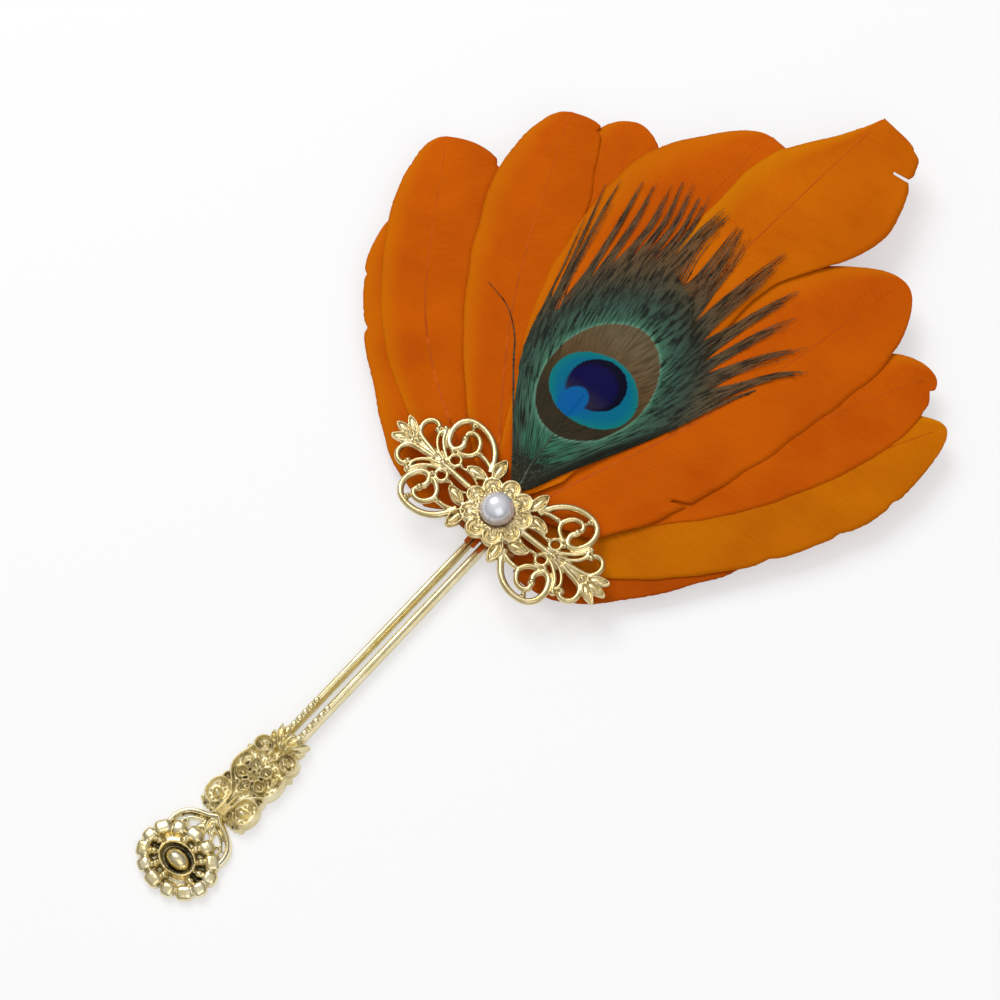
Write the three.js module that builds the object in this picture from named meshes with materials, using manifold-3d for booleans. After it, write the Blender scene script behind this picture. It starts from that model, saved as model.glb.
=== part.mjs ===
// A hand fan of dyed goose feathers with one peacock eye feather. The quills are held by a bed of
// glue between a felt pad at the back and a stamped filigree plate with a pearl at the front. The
// handle is two slim rails held in a leaf collar, an openwork grip, an arch frame and a rosette.
// Millimetres: the origin is on the pad's flat back, under the pearl, the feathers point along
// +Y and the pearl's side faces +Z.
import * as THREE from "three";
import { mergeVertices } from "three/addons/utils/BufferGeometryUtils.js";
import Module from "manifold-3d";

const wasm = await Module();
wasm.setup();

// Driving sizes
const seatGap = 0.3; // clearance where one piece rests on another
const overrun = 0.4; // how far a cut runs past the faces that it cuts

const padHalfLength = 13;
const padUp = 12.5; // from the pearl towards the feathers
const padDown = 7; // from the pearl towards the handle
const padThickness = 1;
const padCorner = 5;
const glueMargin = 1.2; // the glue stops this far inside the pad's edge

const railWidth = 2.5;
const railHeight = 2.4;
const railRidge = 0.5; // height of the ridge along each rail's front
const slotWidth = 1.5; // open slot between the rails
const railTopReach = 7.5; // how far the rails run under the feathers, past the pearl

const handleLength = 140.6; // from the pearl to the rosette's rim
const rosetteHalfLength = 12.4; // the rosette is oval, across the handle
const rosetteHalfWidth = 9.6;
const rosetteBase = 1.6;
const rosettePetalHeight = 4.2;
const rosettePetals = 15;
const bossHalfLength = 4.5; // the boss is oval, across the handle
const bossHalfWidth = 2.8;
const bossHeight = 4.8;
const bossRim = 1.3; // width of the raised oval round the boss
const bossGroove = 1.1; // groove between the boss and its rim

const archHalfWidth = 9.3;
const archHeight = 9.9;
const archBar = 1.7;
const archBarHeight = 3;

const gripLength = 25.4;
const gripHalfWidth = 8.3;
const gripWeb = 2.2; // thickness of the openwork ground
const gripScroll = 1.5; // width of the raised scrolls
const gripHeight = 4.6;
const roseRadius = 3.1;

const collarLength = 5.5;
const collarWall = 1.1;
const leafLength = 8;
const leafHalfWidth = 1.7;
const leafThickness = 1.3;

const plateHalfLength = 40;
const plateHalfWidth = 17;
const wireWidth = 1.45; // width of one filigree stroke
const wireHeight = 1.1;
const flowerRadius = 8.1; // to the middle of the flower's outer loops
const flowerLoop = 2.5; // radius of one loop
const flowerLoops = 9;
const flowerDisc = 7.4; // radius of the plain disc that the pearl sits on
const discHeight = 0.9;
const beadRadius = 0.95;
const tipPetalLength = 8;
const plateLeafLength = 7;
const plateLeafHalfWidth = 1.35;

const pearlRadius = 5;
const pearlHeight = 6.2;

const fanRadius = 179.5; // from the pearl to the longest feather's tip
const fanRise = 6; // how far the longest tip curls up
const vaneSpan = 30; // the widest half of a vane
const vaneThickness = 0.22;
const shaftRidge = 0.1;
const quillWidth = 2;
const quillHeight = 1.3;
const shaftTipWidth = 0.5;
const layerPitch = 0.62; // from one layer of feathers to the next
const hubRadius = 7.5; // where the short quills are cut off
const buttReach = 13.5; // how far the long quills run down the rails

const peacockLength = 121;
const eyeDistance = 48; // from the pearl to the middle of the eye's blue disc
const eyeHalfWidth = 13.2;
const eyeHalfLength = 11.2;
const eyeRelief = 0.25;
const peacockThickness = 0.45;
const barbWidth = 0.9;

// Heights that follow from the sizes above
const railBottom = padThickness + seatGap;
const railTop = railBottom + railHeight + railRidge;
const quillBottom = railTop + seatGap;
const layerHeight = (layer) => quillBottom + layer * layerPitch;
const riseAt = (x, y) => fanRise * (x * x + y * y) / (fanRadius * fanRadius);
const peacockLayer = 7;
const plateBottom = layerHeight(peacockLayer) + peacockThickness + seatGap
  + riseAt(plateHalfLength, 0);
const rosetteCentre = rosetteHalfWidth - handleLength;
const archBottom = rosetteCentre + rosetteHalfWidth * 0.52;
const gripBottom = archBottom + archHeight + archBar / 2 + seatGap;
const gripTop = gripBottom + gripLength;
const collarTop = gripTop + collarLength;

// Materials
const paint = (color, roughness, metalness) =>
  new THREE.MeshStandardMaterial({ color, roughness, metalness });
const gold = paint(0xd9c483, 0.28, 1);
const darkGold = paint(0xc9ae62, 0.35, 1);
const orange = paint(0xc85600, 0.75, 0);
const paleOrange = paint(0xd87606, 0.75, 0);
const deepOrange = paint(0xa84a04, 0.8, 0);
const peacockGreen = paint(0x2f4a40, 0.7, 0);
const pearlWhite = paint(0xe9e6ea, 0.2, 0);
const feltOrange = paint(0xb25a1c, 0.95, 0);
const amber = paint(0xb8792e, 0.3, 0);

// A closed skin over rings of points: each ring has as many points as the next
function loft(rings) {
  const size = rings[0].length;
  const points = rings.flat();
  const faces = [];
  for (let ring = 0; ring + 1 < rings.length; ring++) {
    for (let k = 0; k < size; k++) {
      const a = ring * size + k;
      const b = ring * size + (k + 1) % size;
      faces.push(a, b, b + size, a, b + size, a + size);
    }
  }
  [0, rings.length - 1].forEach((ring) => {
    const middle = new THREE.Vector3();
    rings[ring].forEach((p) => middle.addScaledVector(p, 1 / size));
    const hub = points.push(middle) - 1;
    for (let k = 0; k < size; k++) {
      const a = ring * size + k;
      const b = ring * size + (k + 1) % size;
      faces.push(...(ring === 0 ? [hub, b, a] : [hub, a, b]));
    }
  });
  return outward(new THREE.BufferGeometry().setFromPoints(points).setIndex(faces));
}

// Turns the faces round if they point in
function outward(geometry) {
  const at = geometry.getAttribute("position");
  const index = Array.from(geometry.index.array);
  const [a, b, c] = [new THREE.Vector3(), new THREE.Vector3(), new THREE.Vector3()];
  let volume = 0;
  for (let i = 0; i < index.length; i += 3) {
    a.fromBufferAttribute(at, index[i]);
    b.fromBufferAttribute(at, index[i + 1]);
    c.fromBufferAttribute(at, index[i + 2]);
    volume += a.dot(b.cross(c));
  }
  if (volume < 0) index.reverse();
  return geometry.setIndex(index);
}

// Booleans: a geometry as a solid, and a solid as a geometry
function solid(geometry) {
  const bare = geometry.clone();
  bare.deleteAttribute("normal");
  bare.deleteAttribute("uv");
  const merged = mergeVertices(bare);
  return new wasm.Manifold(new wasm.Mesh({
    numProp: 3,
    vertProperties: Float32Array.from(merged.getAttribute("position").array),
    triVerts: Uint32Array.from(merged.index.array),
  }));
}

function toGeometry(body) {
  const mesh = body.getMesh();
  const geometry = new THREE.BufferGeometry();
  geometry.setAttribute("position", new THREE.BufferAttribute(mesh.vertProperties, 3));
  geometry.setIndex(Array.from(mesh.triVerts));
  return geometry;
}

const fuse = (geometries) => toGeometry(wasm.Manifold.union(geometries.map(solid)));

function cut(geometry, cutters) {
  const tools = wasm.Manifold.union(cutters.map(solid));
  return toGeometry(solid(geometry).subtract(tools));
}

const moved = (geometry, x, y, z) => geometry.clone().translate(x, y, z);
const mirrored = (geometry, x, y) => outward(geometry.clone().scale(x, y, 1));

// All four mirror images of a piece of ornament
const inFourQuarters = (geometry) =>
  [geometry, mirrored(geometry, -1, 1), mirrored(geometry, 1, -1), mirrored(geometry, -1, -1)];
const onBothSides = (geometry) => [geometry, mirrored(geometry, -1, 1)];

// A drawn stroke with a flat back and a round front, along a curve in the plane z = 0
const roundShares = [[-0.5, 0], [0.5, 0], [0.5, 0.45], [0, 1], [-0.5, 0.45]];
const pressedShares = [[-0.5, 0], [0.5, 0], [0.26, 1], [-0.26, 1]];

function stroke(path, width, height, steps, closed = false, sectionShares = roundShares) {
  const curve = new THREE.CatmullRomCurve3(path.map(([x, y]) => new THREE.Vector3(x, y, 0)), closed);
  const rings = [];
  for (let i = 0; i <= steps; i++) {
    const at = curve.getPointAt(i / steps);
    const along = curve.getTangentAt(i / steps);
    rings.push(sectionShares.map(([side, up]) => new THREE.Vector3(
      at.x - along.y * side * width, at.y + along.x * side * width, up * height)));
  }
  if (!closed) return loft(rings);
  return joinRing(rings.slice(0, -1));
}

// A closed ring of sections, without ends
function joinRing(rings) {
  const size = rings[0].length;
  const faces = [];
  rings.forEach((_, ring) => {
    const next = (ring + 1) % rings.length;
    for (let k = 0; k < size; k++) {
      const side = (k + 1) % size;
      faces.push(ring * size + k, ring * size + side, next * size + side);
      faces.push(ring * size + k, next * size + side, next * size + k);
    }
  });
  return outward(new THREE.BufferGeometry().setFromPoints(rings.flat()).setIndex(faces));
}

// A pointed leaf with a raised middle, from a root along an angle that is 0 along +Y
function leaf(x, y, angle, length, halfWidth, thickness, bottom) {
  const alongShares = [0.02, 0.18, 0.42, 0.68, 0.88, 1];
  const widthShares = [0.3, 0.75, 1, 0.8, 0.4, 0.06];
  const rings = alongShares.map((share, i) => {
    const half = halfWidth * widthShares[i];
    const top = thickness * (0.45 + 0.55 * widthShares[i]);
    return [[-half, 0], [half, 0], [0, top]].map(([side, up]) =>
      new THREE.Vector3(side, length * share, up));
  });
  return loft(rings).rotateZ(-angle).translate(x, y, bottom);
}

// A low dome, for beads, petals and bosses
function dome(halfLength, halfWidth, height, around, rings) {
  const profile = [new THREE.Vector2(0, 0)];
  for (let i = 0; i <= rings; i++) {
    const turn = Math.PI / 2 * i / rings;
    profile.push(new THREE.Vector2(Math.cos(turn), Math.sin(turn)));
  }
  profile[profile.length - 1].x = 0;
  const geometry = new THREE.LatheGeometry(profile, around).rotateX(Math.PI / 2);
  return geometry.scale(halfLength, halfWidth, height);
}

// A flat plate with an outline
function slab(outline, bottom, thickness) {
  const shape = new THREE.Shape(outline.map(([x, y]) => new THREE.Vector2(x, y)));
  const options = { depth: thickness, bevelEnabled: false };
  return new THREE.ExtrudeGeometry(shape, options).translate(0, 0, bottom);
}

// A smooth closed outline through points
function roundOutline(points, steps) {
  const curve = new THREE.SplineCurve(points.map(([x, y]) => new THREE.Vector2(x, y)));
  return curve.getPoints(steps).slice(0, -1).map((p) => [p.x, p.y]);
}

function post(x, y, radius, bottom, height, around) {
  return new THREE.CylinderGeometry(radius, radius, height, around)
    .rotateX(Math.PI / 2).translate(x, y, bottom + height / 2);
}

// Handle
function railGeometry(side) {
  const from = collarBottom() + seatGap;
  const middle = side * (slotWidth + railWidth) / 2;
  const half = railWidth / 2;
  const section = [[-half, 0], [half, 0], [half, railHeight], [0, railHeight + railRidge],
    [-half, railHeight]];
  return loft([from, railTopReach].map((y) => section.map(([x, z]) =>
    new THREE.Vector3(middle + x, y, railBottom + z))));
}

function collarBottom() {
  return gripTop + seatGap;
}

function collarGeometry() {
  const halfWidth = slotWidth / 2 + railWidth + seatGap + collarWall;
  const height = railTop + seatGap + collarWall;
  const from = collarBottom();
  const outlineShares = [[-0.8, 0], [0.8, 0], [1, 0.3], [1, 0.8], [0.85, 1], [-0.85, 1], [-1, 0.8],
    [-1, 0.3]];
  const length = collarTop - from;
  const body = slab(outlineShares.map(([x, y]) => [x * halfWidth, from + y * length]), 0, height);
  const leaves = [
    leaf(0, from, 0, leafLength * 0.75, leafHalfWidth, leafThickness, height - overrun),
    ...onBothSides(leaf(leafHalfWidth / 2, from, Math.PI / 4.6, leafLength, leafHalfWidth,
      leafThickness, height - overrun)),
    ...onBothSides(leaf(halfWidth - leafHalfWidth, from, Math.PI / 8, leafLength * 0.85,
      leafHalfWidth, height * 0.7, 0)),
  ];
  const passages = [-1, 1].map((side) => {
    const middle = side * (slotWidth + railWidth) / 2;
    const half = railWidth / 2 + seatGap;
    const top = railTop + seatGap;
    const corners = [[-half, railBottom - seatGap], [half, railBottom - seatGap], [half, top],
      [-half, top]];
    return loft([from - overrun, from + length + leafLength].map((y) => corners.map(([x, z]) =>
      new THREE.Vector3(middle + x, y, z))));
  });
  return cut(fuse([body, ...leaves]), passages);
}

// A spiral scroll that tightens towards its centre
function volute(x, y, radius, turns, start, hand) {
  const path = [];
  const steps = Math.round(turns * 8);
  for (let i = 0; i <= steps; i++) {
    const share = i / steps;
    const turn = start + hand * share * turns * 2 * Math.PI;
    const reach = radius * (1 - 0.72 * share);
    path.push([x + reach * Math.cos(turn), y + reach * Math.sin(turn)]);
  }
  return path;
}

function gripGeometry() {
  const edgeShares = [[0.62, 1], [0.98, 0.92], [1, 0.8], [0.84, 0.7], [1, 0.6], [1.04, 0.44],
    [0.84, 0.34], [0.96, 0.22], [0.86, 0.08], [0.5, 0]];
  const right = edgeShares.map(([x, y]) => [x * gripHalfWidth, gripBottom + y * gripLength]);
  const left = right.map(([x, y]) => [-x, y]).reverse();
  const ground = slab([...right, ...left].reverse(), 0, gripWeb);
  const scrollShares = [[0.52, 0.85, 0.4, 2.4], [0.55, 0.56, 0.42, -0.4], [0.5, 0.2, 0.42, 2.4]];
  const scrolls = scrollShares.flatMap(([x, y, radius, start], i) => {
    const path = volute(x * gripHalfWidth, gripBottom + y * gripLength, radius * gripHalfWidth,
      1.35, start, i % 2 ? 1 : -1);
    const scroll = stroke(path, gripScroll, gripHeight - gripWeb + overrun, 13, false,
      pressedShares);
    return onBothSides(moved(scroll, 0, 0, gripWeb - overrun));
  });
  const roseHeight = gripHeight - gripWeb + overrun;
  const roseMiddle = gripBottom + gripLength * 0.42;
  const petals = [0, 1, 2, 3, 4].map((k) => {
    const turn = 2 * Math.PI * k / 5 + Math.PI / 2;
    return moved(dome(roseRadius * 0.6, roseRadius * 0.6, roseHeight, 7, 2),
      roseRadius * 0.62 * Math.cos(turn), roseMiddle + roseRadius * 0.62 * Math.sin(turn),
      gripWeb - overrun);
  });
  const bud = moved(dome(roseRadius * 0.4, roseRadius * 0.4, roseHeight + overrun, 8, 2),
    0, roseMiddle, gripWeb - overrun);
  const spineShares = [[0, 0], [0, 0.2], [0, 1]];
  const spine = moved(stroke(spineShares.map(([x, y]) => [x, gripBottom + y * gripLength]),
    gripScroll, roseHeight, 2), 0, 0, gripWeb - overrun);
  const holeShares = [[0.28, 0.72], [0.68, 0.68], [0.3, 0.3], [0.66, 0.34], [0.26, 0.08]];
  const holes = holeShares.flatMap(([x, y]) => onBothSides(post(x * gripHalfWidth,
    gripBottom + y * gripLength, gripScroll * 0.55, -overrun, gripHeight + 2 * overrun, 8)));
  return cut(fuse([ground, spine, ...scrolls, ...petals, bud]), holes);
}

function archGeometry() {
  const sideShares = [[-0.04, 1], [0.12, 0.86], [0.45, 0.76], [0.86, 0.6], [1, 0.3], [0.97, 0]];
  const side = sideShares.map(([x, y]) => [x * archHalfWidth, archBottom + y * archHeight]);
  const arch = onBothSides(stroke(side, archBar, archBarHeight, 11));
  const apex = archBottom + archHeight;
  const stem = leaf(0, apex, Math.PI, archHeight * 0.7, archHalfWidth * 0.2, archBarHeight, 0);
  const sprigs = onBothSides(leaf(0, apex, Math.PI * 0.78, archHeight * 0.72,
    archHalfWidth * 0.15, archBarHeight * 0.8, 0));
  const keep = moved(post(0, 0, 1, -overrun, archBarHeight + rosettePetalHeight, 36)
    .scale(rosetteHalfLength + seatGap, rosetteHalfWidth + seatGap, 1), 0, rosetteCentre, 0);
  return cut(fuse([...arch, stem, ...sprigs]), [keep]);
}

function rosetteGeometry() {
  const rimShare = 0.86;
  const base = post(0, 0, rimShare, 0, rosetteBase, 30)
    .scale(rosetteHalfLength, rosetteHalfWidth, 1);
  const petals = [];
  for (let k = 0; k < rosettePetals; k++) {
    const turn = 2 * Math.PI * (k + 0.5) / rosettePetals;
    const height = rosettePetalHeight * (k % 2 ? 1 : 0.86);
    const petal = dome(0.24, 0.2, height, 7, 2).translate(0.76, 0, 0).rotateZ(turn);
    petals.push(petal.scale(rosetteHalfLength, rosetteHalfWidth, 1));
  }
  const rimPath = Array.from({ length: 12 }, (_, k) => {
    const turn = Math.PI * k / 6;
    const extra = bossGroove + bossRim / 2;
    return [(bossHalfLength + extra) * Math.cos(turn), (bossHalfWidth + extra) * Math.sin(turn)];
  });
  const bossRing = stroke(rimPath, bossRim, bossHeight * 0.85, 24, true);
  const boss = dome(bossHalfLength, bossHalfWidth, bossHeight, 14, 3);
  return moved(fuse([base, ...petals, bossRing, boss]), 0, rosetteCentre, 0);
}

// Filigree plate: its strokes are drawn for one quarter and mirrored. A wing's shares run from its
// root at the flower to the plate's tip.
const wingRoot = flowerRadius - flowerLoop;
const wingRootShare = 0.14;
const inPlate = (shares) => shares.map(([x, y]) => [wingRoot + (x - wingRootShare)
  / (1 - wingRootShare) * (plateHalfLength - wingRoot), y * plateHalfWidth]);

function plateGeometry() {
  const scrollShares = [[0.17, 0.42], [0.25, 0.64], [0.33, 0.84], [0.45, 0.955], [0.57, 0.95],
    [0.65, 0.83], [0.668, 0.64], [0.625, 0.42], [0.55, 0.31], [0.48, 0.345], [0.425, 0.48],
    [0.415, 0.63], [0.46, 0.77], [0.52, 0.78], [0.548, 0.68], [0.515, 0.58]];
  const braceShares = [[0.22, 0.52], [0.3, 0.53], [0.37, 0.52], [0.425, 0.5]];
  const barShares = [[0.18, 0.1], [0.32, 0.1], [0.45, 0.11], [0.55, 0.04]];
  const linkShares = [[0.43, 0.16], [0.5, 0.27], [0.56, 0.3]];
  const stripShares = [[0.5, 0.04], [0.6, 0.2], [0.72, 0.36]];
  const earShares = [[0.68, 0.32], [0.74, 0.46], [0.81, 0.45], [0.845, 0.32], [0.81, 0.14],
    [0.72, 0.03], [0.6, 0.05]];
  const drawn = [[scrollShares, 25], [braceShares, 2], [barShares, 3], [linkShares, 2],
    [stripShares, 2], [earShares, 10]];
  const quarter = drawn.map(([shares, steps]) =>
    stroke(inPlate(shares), wireWidth, wireHeight, steps, false, pressedShares));
  const ringShares = [[0.44, 0.2]];
  inPlate(ringShares).forEach(([x, y]) => {
    const reach = wireWidth * 1.05;
    const path = [0, 1, 2, 3, 4, 5].map((k) =>
      [x + reach * Math.cos(k * Math.PI / 3), y + reach * Math.sin(k * Math.PI / 3)]);
    quarter.push(stroke(path, wireWidth * 0.7, wireHeight, 6, true, pressedShares));
  });
  const beadShares = [[0.515, 0.58], [0.6, 0.865], [0.68, 0.34]];
  inPlate(beadShares).forEach(([x, y]) => {
    quarter.push(moved(dome(beadRadius, beadRadius, wireHeight * 1.25, 6, 2), x, y, 0));
  });
  const leafShares = [[0.155, 0.4], [0.19, 0.34]];
  const leafTurns = [Math.PI / 30, Math.PI / 2.35];
  inPlate(leafShares).forEach(([x, y], i) => {
    quarter.push(leaf(x, y, leafTurns[i], plateLeafLength, plateLeafHalfWidth,
      wireHeight * 1.3, 0));
  });
  const petalRoot = plateHalfLength - tipPetalLength;
  quarter.push(leaf(petalRoot, 0, Math.PI / 2 - Math.PI / 5.5, tipPetalLength,
    plateLeafHalfWidth, wireHeight * 1.2, 0));
  const stemShares = [[0.56, 0]];
  const stem = [...inPlate(stemShares), [petalRoot + wireWidth / 2, 0]];
  const ends = [leaf(petalRoot, 0, Math.PI / 2, tipPetalLength, plateLeafHalfWidth,
    wireHeight * 1.2, 0), stroke(stem, wireWidth, wireHeight, 1, false, pressedShares)]
    .flatMap(onBothSides);
  const knots = onBothSides(moved(dome(wireWidth * 1.5, wireWidth * 1.2, wireHeight * 1.5, 8, 2),
    plateHalfLength * 0.56, 0, 0));
  return moved(fuse([...quarter.flatMap(inFourQuarters), ...ends, ...knots, ...flowerPieces()]),
    0, 0, plateBottom);
}

function flowerPieces() {
  const loops = [];
  for (let k = 0; k < flowerLoops; k++) {
    const turn = 2 * Math.PI * (k + 0.5) / flowerLoops;
    const path = [0, 1, 2, 3, 4, 5].map((corner) => {
      const round = turn + corner * Math.PI / 3;
      return [flowerRadius * Math.cos(turn) + flowerLoop * Math.cos(round),
        flowerRadius * Math.sin(turn) + flowerLoop * Math.sin(round)];
    });
    loops.push(stroke(path, wireWidth * 0.9, wireHeight * 1.3, 8, true, pressedShares));
  }
  const disc = post(0, 0, flowerDisc, 0, discHeight, 24);
  return [...loops, disc];
}

function pearlGeometry() {
  const bottom = plateBottom + discHeight + seatGap;
  const centre = pearlHeight - pearlRadius;
  const from = -Math.asin(centre / pearlRadius);
  const profile = [new THREE.Vector2(0, 0)];
  for (let i = 0; i <= 9; i++) {
    const turn = from + (Math.PI / 2 - from) * i / 9;
    profile.push(new THREE.Vector2(pearlRadius * Math.cos(turn),
      centre + pearlRadius * Math.sin(turn)));
  }
  profile[1].y = 0;
  profile[profile.length - 1].x = 0;
  return new THREE.LatheGeometry(profile, 18).rotateX(Math.PI / 2).translate(0, 0, bottom);
}

// A flat piece with round corners, reaching up and down from the pearl
function roundedSlab(halfLength, up, down, corner, bottom, thickness) {
  const shape = new THREE.Shape();
  [[1, -down], [1, up], [-1, up], [-1, -down]].forEach(([side, y], k) => {
    const middleX = side * (halfLength - corner);
    const middleY = y - Math.sign(y) * corner;
    shape.absarc(middleX, middleY, corner, (k - 1) * Math.PI / 2, k * Math.PI / 2, false);
  });
  const options = { depth: thickness, bevelEnabled: false, curveSegments: 5 };
  return new THREE.ExtrudeGeometry(shape, options).translate(0, 0, bottom);
}

function padGeometry() {
  return roundedSlab(padHalfLength, padUp, padDown, padCorner, 0, padThickness);
}

// The glue fills the space between pad and quills on both sides of the rails
function glueGeometry() {
  const thickness = railTop - railBottom;
  const bed = roundedSlab(padHalfLength - glueMargin, padUp - glueMargin, padDown - glueMargin,
    padCorner - glueMargin, railBottom, thickness);
  const half = slotWidth / 2 + railWidth + seatGap;
  const low = -padDown - overrun;
  const high = railTopReach + seatGap;
  const channel = slab([[-half, low], [half, low], [half, high], [-half, high]],
    railBottom - overrun, thickness + 2 * overrun);
  return cut(bed, [channel]);
}

// Goose feathers. Angles are in degrees from +Y towards +X, widths are shares of vaneSpan at even
// steps from the quill to the tip, on the feather's left and right as seen from the front.
// butt is the place side by side on the rails, for the long quills that reach the rails.
const gooseFeathers = [
  { name: "feather_left_low", layer: 0, lengthShare: 0.59, angles: [-80, -66, -57],
    leftShares: [0.42, 0.52, 0.5, 0.5, 0.44, 0.34], rightShares: [0.3, 0.55, 0.6, 0.6, 0.6, 0.5],
    tipShares: [0.2, 0.16], colour: orange },
  { name: "feather_left_high", layer: 1, lengthShare: 0.725, angles: [-68, -60, -48],
    leftShares: [0.2, 0.34, 0.42, 0.46, 0.46, 0.42], rightShares: [0.3, 0.55, 0.7, 0.78, 0.74, 0.6],
    tipShares: [0.16, 0.14], colour: orange },
  { name: "feather_right_short", layer: 0, lengthShare: 0.43, angles: [83, 68, 54],
    leftShares: [0.2, 0.3, 0.4, 0.45, 0.45, 0.4], rightShares: [0.36, 0.47, 0.42, 0.36, 0.3, 0.24],
    tipShares: [0.25, 0.25], colour: deepOrange },
  { name: "feather_right_low", layer: 1, lengthShare: 0.745, angles: [56, 46, 37],
    leftShares: [0.2, 0.4, 0.6, 0.66, 0.5, 0.3], rightShares: [0.4, 0.58, 0.64, 0.64, 0.58, 0.4],
    tipShares: [0.2, 0.3], colour: paleOrange },
  { name: "feather_right_split", layer: 2, lengthShare: 0.76, angles: [37, 33, 30],
    leftShares: [0.2, 0.4, 0.6, 0.66, 0.6, 0.5], rightShares: [0.2, 0.4, 0.58, 0.62, 0.56, 0.42],
    tipShares: [0.2, 0.25], colour: orange },
  { name: "feather_back_left", layer: 3, lengthShare: 0.78, angles: [-22, -23, -23],
    leftShares: [0.15, 0.3, 0.4, 0.45, 0.45, 0.42], rightShares: [0.15, 0.3, 0.4, 0.45, 0.45, 0.42],
    tipShares: [0.14, 0.14], colour: orange },
  { name: "feather_upper_left", layer: 4, lengthShare: 0.772, angles: [-40, -37, -31.5],
    leftShares: [0.2, 0.34, 0.46, 0.54, 0.54, 0.46], rightShares: [0.1, 0.24, 0.4, 0.5, 0.52, 0.46],
    tipShares: [0.18, 0.12], colour: orange },
  { name: "feather_right_broad", layer: 4, lengthShare: 0.8, angles: [26, 22, 17.5], butt: 1,
    leftShares: [0.1, 0.2, 0.4, 0.64, 0.82, 0.66], rightShares: [0.52, 0.7, 0.68, 0.62, 0.56, 0.46],
    tipShares: [0.16, 0.2], colour: orange },
  { name: "feather_top_broad", layer: 5, lengthShare: 0.83, angles: [-20, -16, -9.5], butt: -1,
    leftShares: [0.2, 0.4, 0.6, 0.76, 0.82, 0.72], rightShares: [0.2, 0.4, 0.6, 0.7, 0.74, 0.7],
    tipShares: [0.22, 0.1], colour: orange },
  { name: "feather_top_long", layer: 6, lengthShare: 1, angles: [-6, -2, 4], butt: 0,
    leftShares: [0.2, 0.34, 0.44, 0.52, 0.56, 0.48], rightShares: [0.2, 0.34, 0.44, 0.56, 0.9, 0.48],
    tipShares: [0.18, 0.16], colour: paleOrange },
];

const towards = (degrees, reach) => {
  const turn = THREE.MathUtils.degToRad(degrees);
  return new THREE.Vector3(reach * Math.sin(turn), reach * Math.cos(turn), 0);
};

// A smooth value between even steps of a table
function smoothShare(shares, at) {
  const place = THREE.MathUtils.clamp(at, 0, 1) * (shares.length - 1);
  const step = Math.min(Math.floor(place), shares.length - 2);
  const pick = (k) => shares[THREE.MathUtils.clamp(k, 0, shares.length - 1)];
  const t = place - step;
  const [p, q, r, s] = [pick(step - 1), pick(step), pick(step + 1), pick(step + 2)];
  return q + t * (r - p) / 2 + t * t * (p - 2.5 * q + 2 * r - s / 2)
    + t * t * t * (1.5 * (q - r) + (s - p) / 2);
}

function featherGeometry(feather) {
  const { layer, lengthShare, angles, leftShares, rightShares, tipShares, butt } = feather;
  const length = fanRadius * lengthShare;
  const points = [towards(angles[0], hubRadius), towards(angles[0], 2.4 * hubRadius),
    towards(angles[1], length * 0.5), towards(angles[2], length)];
  const onRails = butt !== undefined;
  if (onRails) {
    const pitch = quillWidth + seatGap;
    points[0].set(butt * pitch, -buttReach, 0);
    points.splice(1, 0, new THREE.Vector3(butt * pitch * 1.25, -buttReach * 0.3, 0));
  }
  const curve = new THREE.CatmullRomCurve3(points, false, "centripetal");
  const whole = curve.getLength();
  const bareShare = (onRails ? buttReach + hubRadius * 1.3 : hubRadius * 0.3) / whole;
  const half = (shares, share, tipShare) => {
    const along = (share - bareShare) / (1 - bareShare);
    if (along < 0) return quillWidth / 2;
    const closing = Math.max(0, (share - 1 + tipShare) / tipShare);
    const opening = Math.min(1, along / 0.06);
    const rounded = Math.sqrt(Math.max(0, 1 - closing * closing)) * opening;
    const shaft = quillWidth / 2 * (1 - share) + shaftTipWidth / 2 * share;
    return Math.max(shaft, vaneSpan * smoothShare(shares, along) * rounded);
  };
  const rootShares = onRails ? [0, 0.3, 0.6, 0.8] : [0];
  const stations = rootShares.map((share) => share * bareShare);
  const vaneSteps = 15;
  for (let i = 0; i <= vaneSteps; i++) {
    stations.push(bareShare + (1 - bareShare) * (1 - (1 - i / vaneSteps) ** 1.5));
  }
  const rings = stations.map((share) => {
    const at = curve.getPointAt(share);
    const along = curve.getTangentAt(share);
    const left = half(leftShares, share, tipShares[0]);
    const right = half(rightShares, share, tipShares[1]);
    const bare = THREE.MathUtils.clamp(share / bareShare, 0, 1);
    const lifted = onRails ? THREE.MathUtils.smoothstep(bare, 0.3, 0.8) : 1;
    const bottom = onRails ? layerHeight(layer * lifted) : layerHeight(layer);
    const isQuill = onRails && bare < 1;
    const top = isQuill ? quillHeight * (1 - lifted) + vaneThickness * lifted : vaneThickness;
    const shaft = Math.min(left, right) * 0.6;
    const shaftHalf = Math.min(shaft, quillWidth / 2 * (1 - 0.75 * share));
    const section = [[-left, 0], [0, 0], [right, 0], [right, top], [shaftHalf / 2, top],
      [0, top + shaftRidge], [-shaftHalf / 2, top], [-left, top]];
    return section.map(([side, up]) => {
      const x = at.x + along.y * side;
      const y = at.y - along.x * side;
      return new THREE.Vector3(x, y, bottom + up + riseAt(x, y));
    });
  });
  return loft(rings);
}

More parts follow.
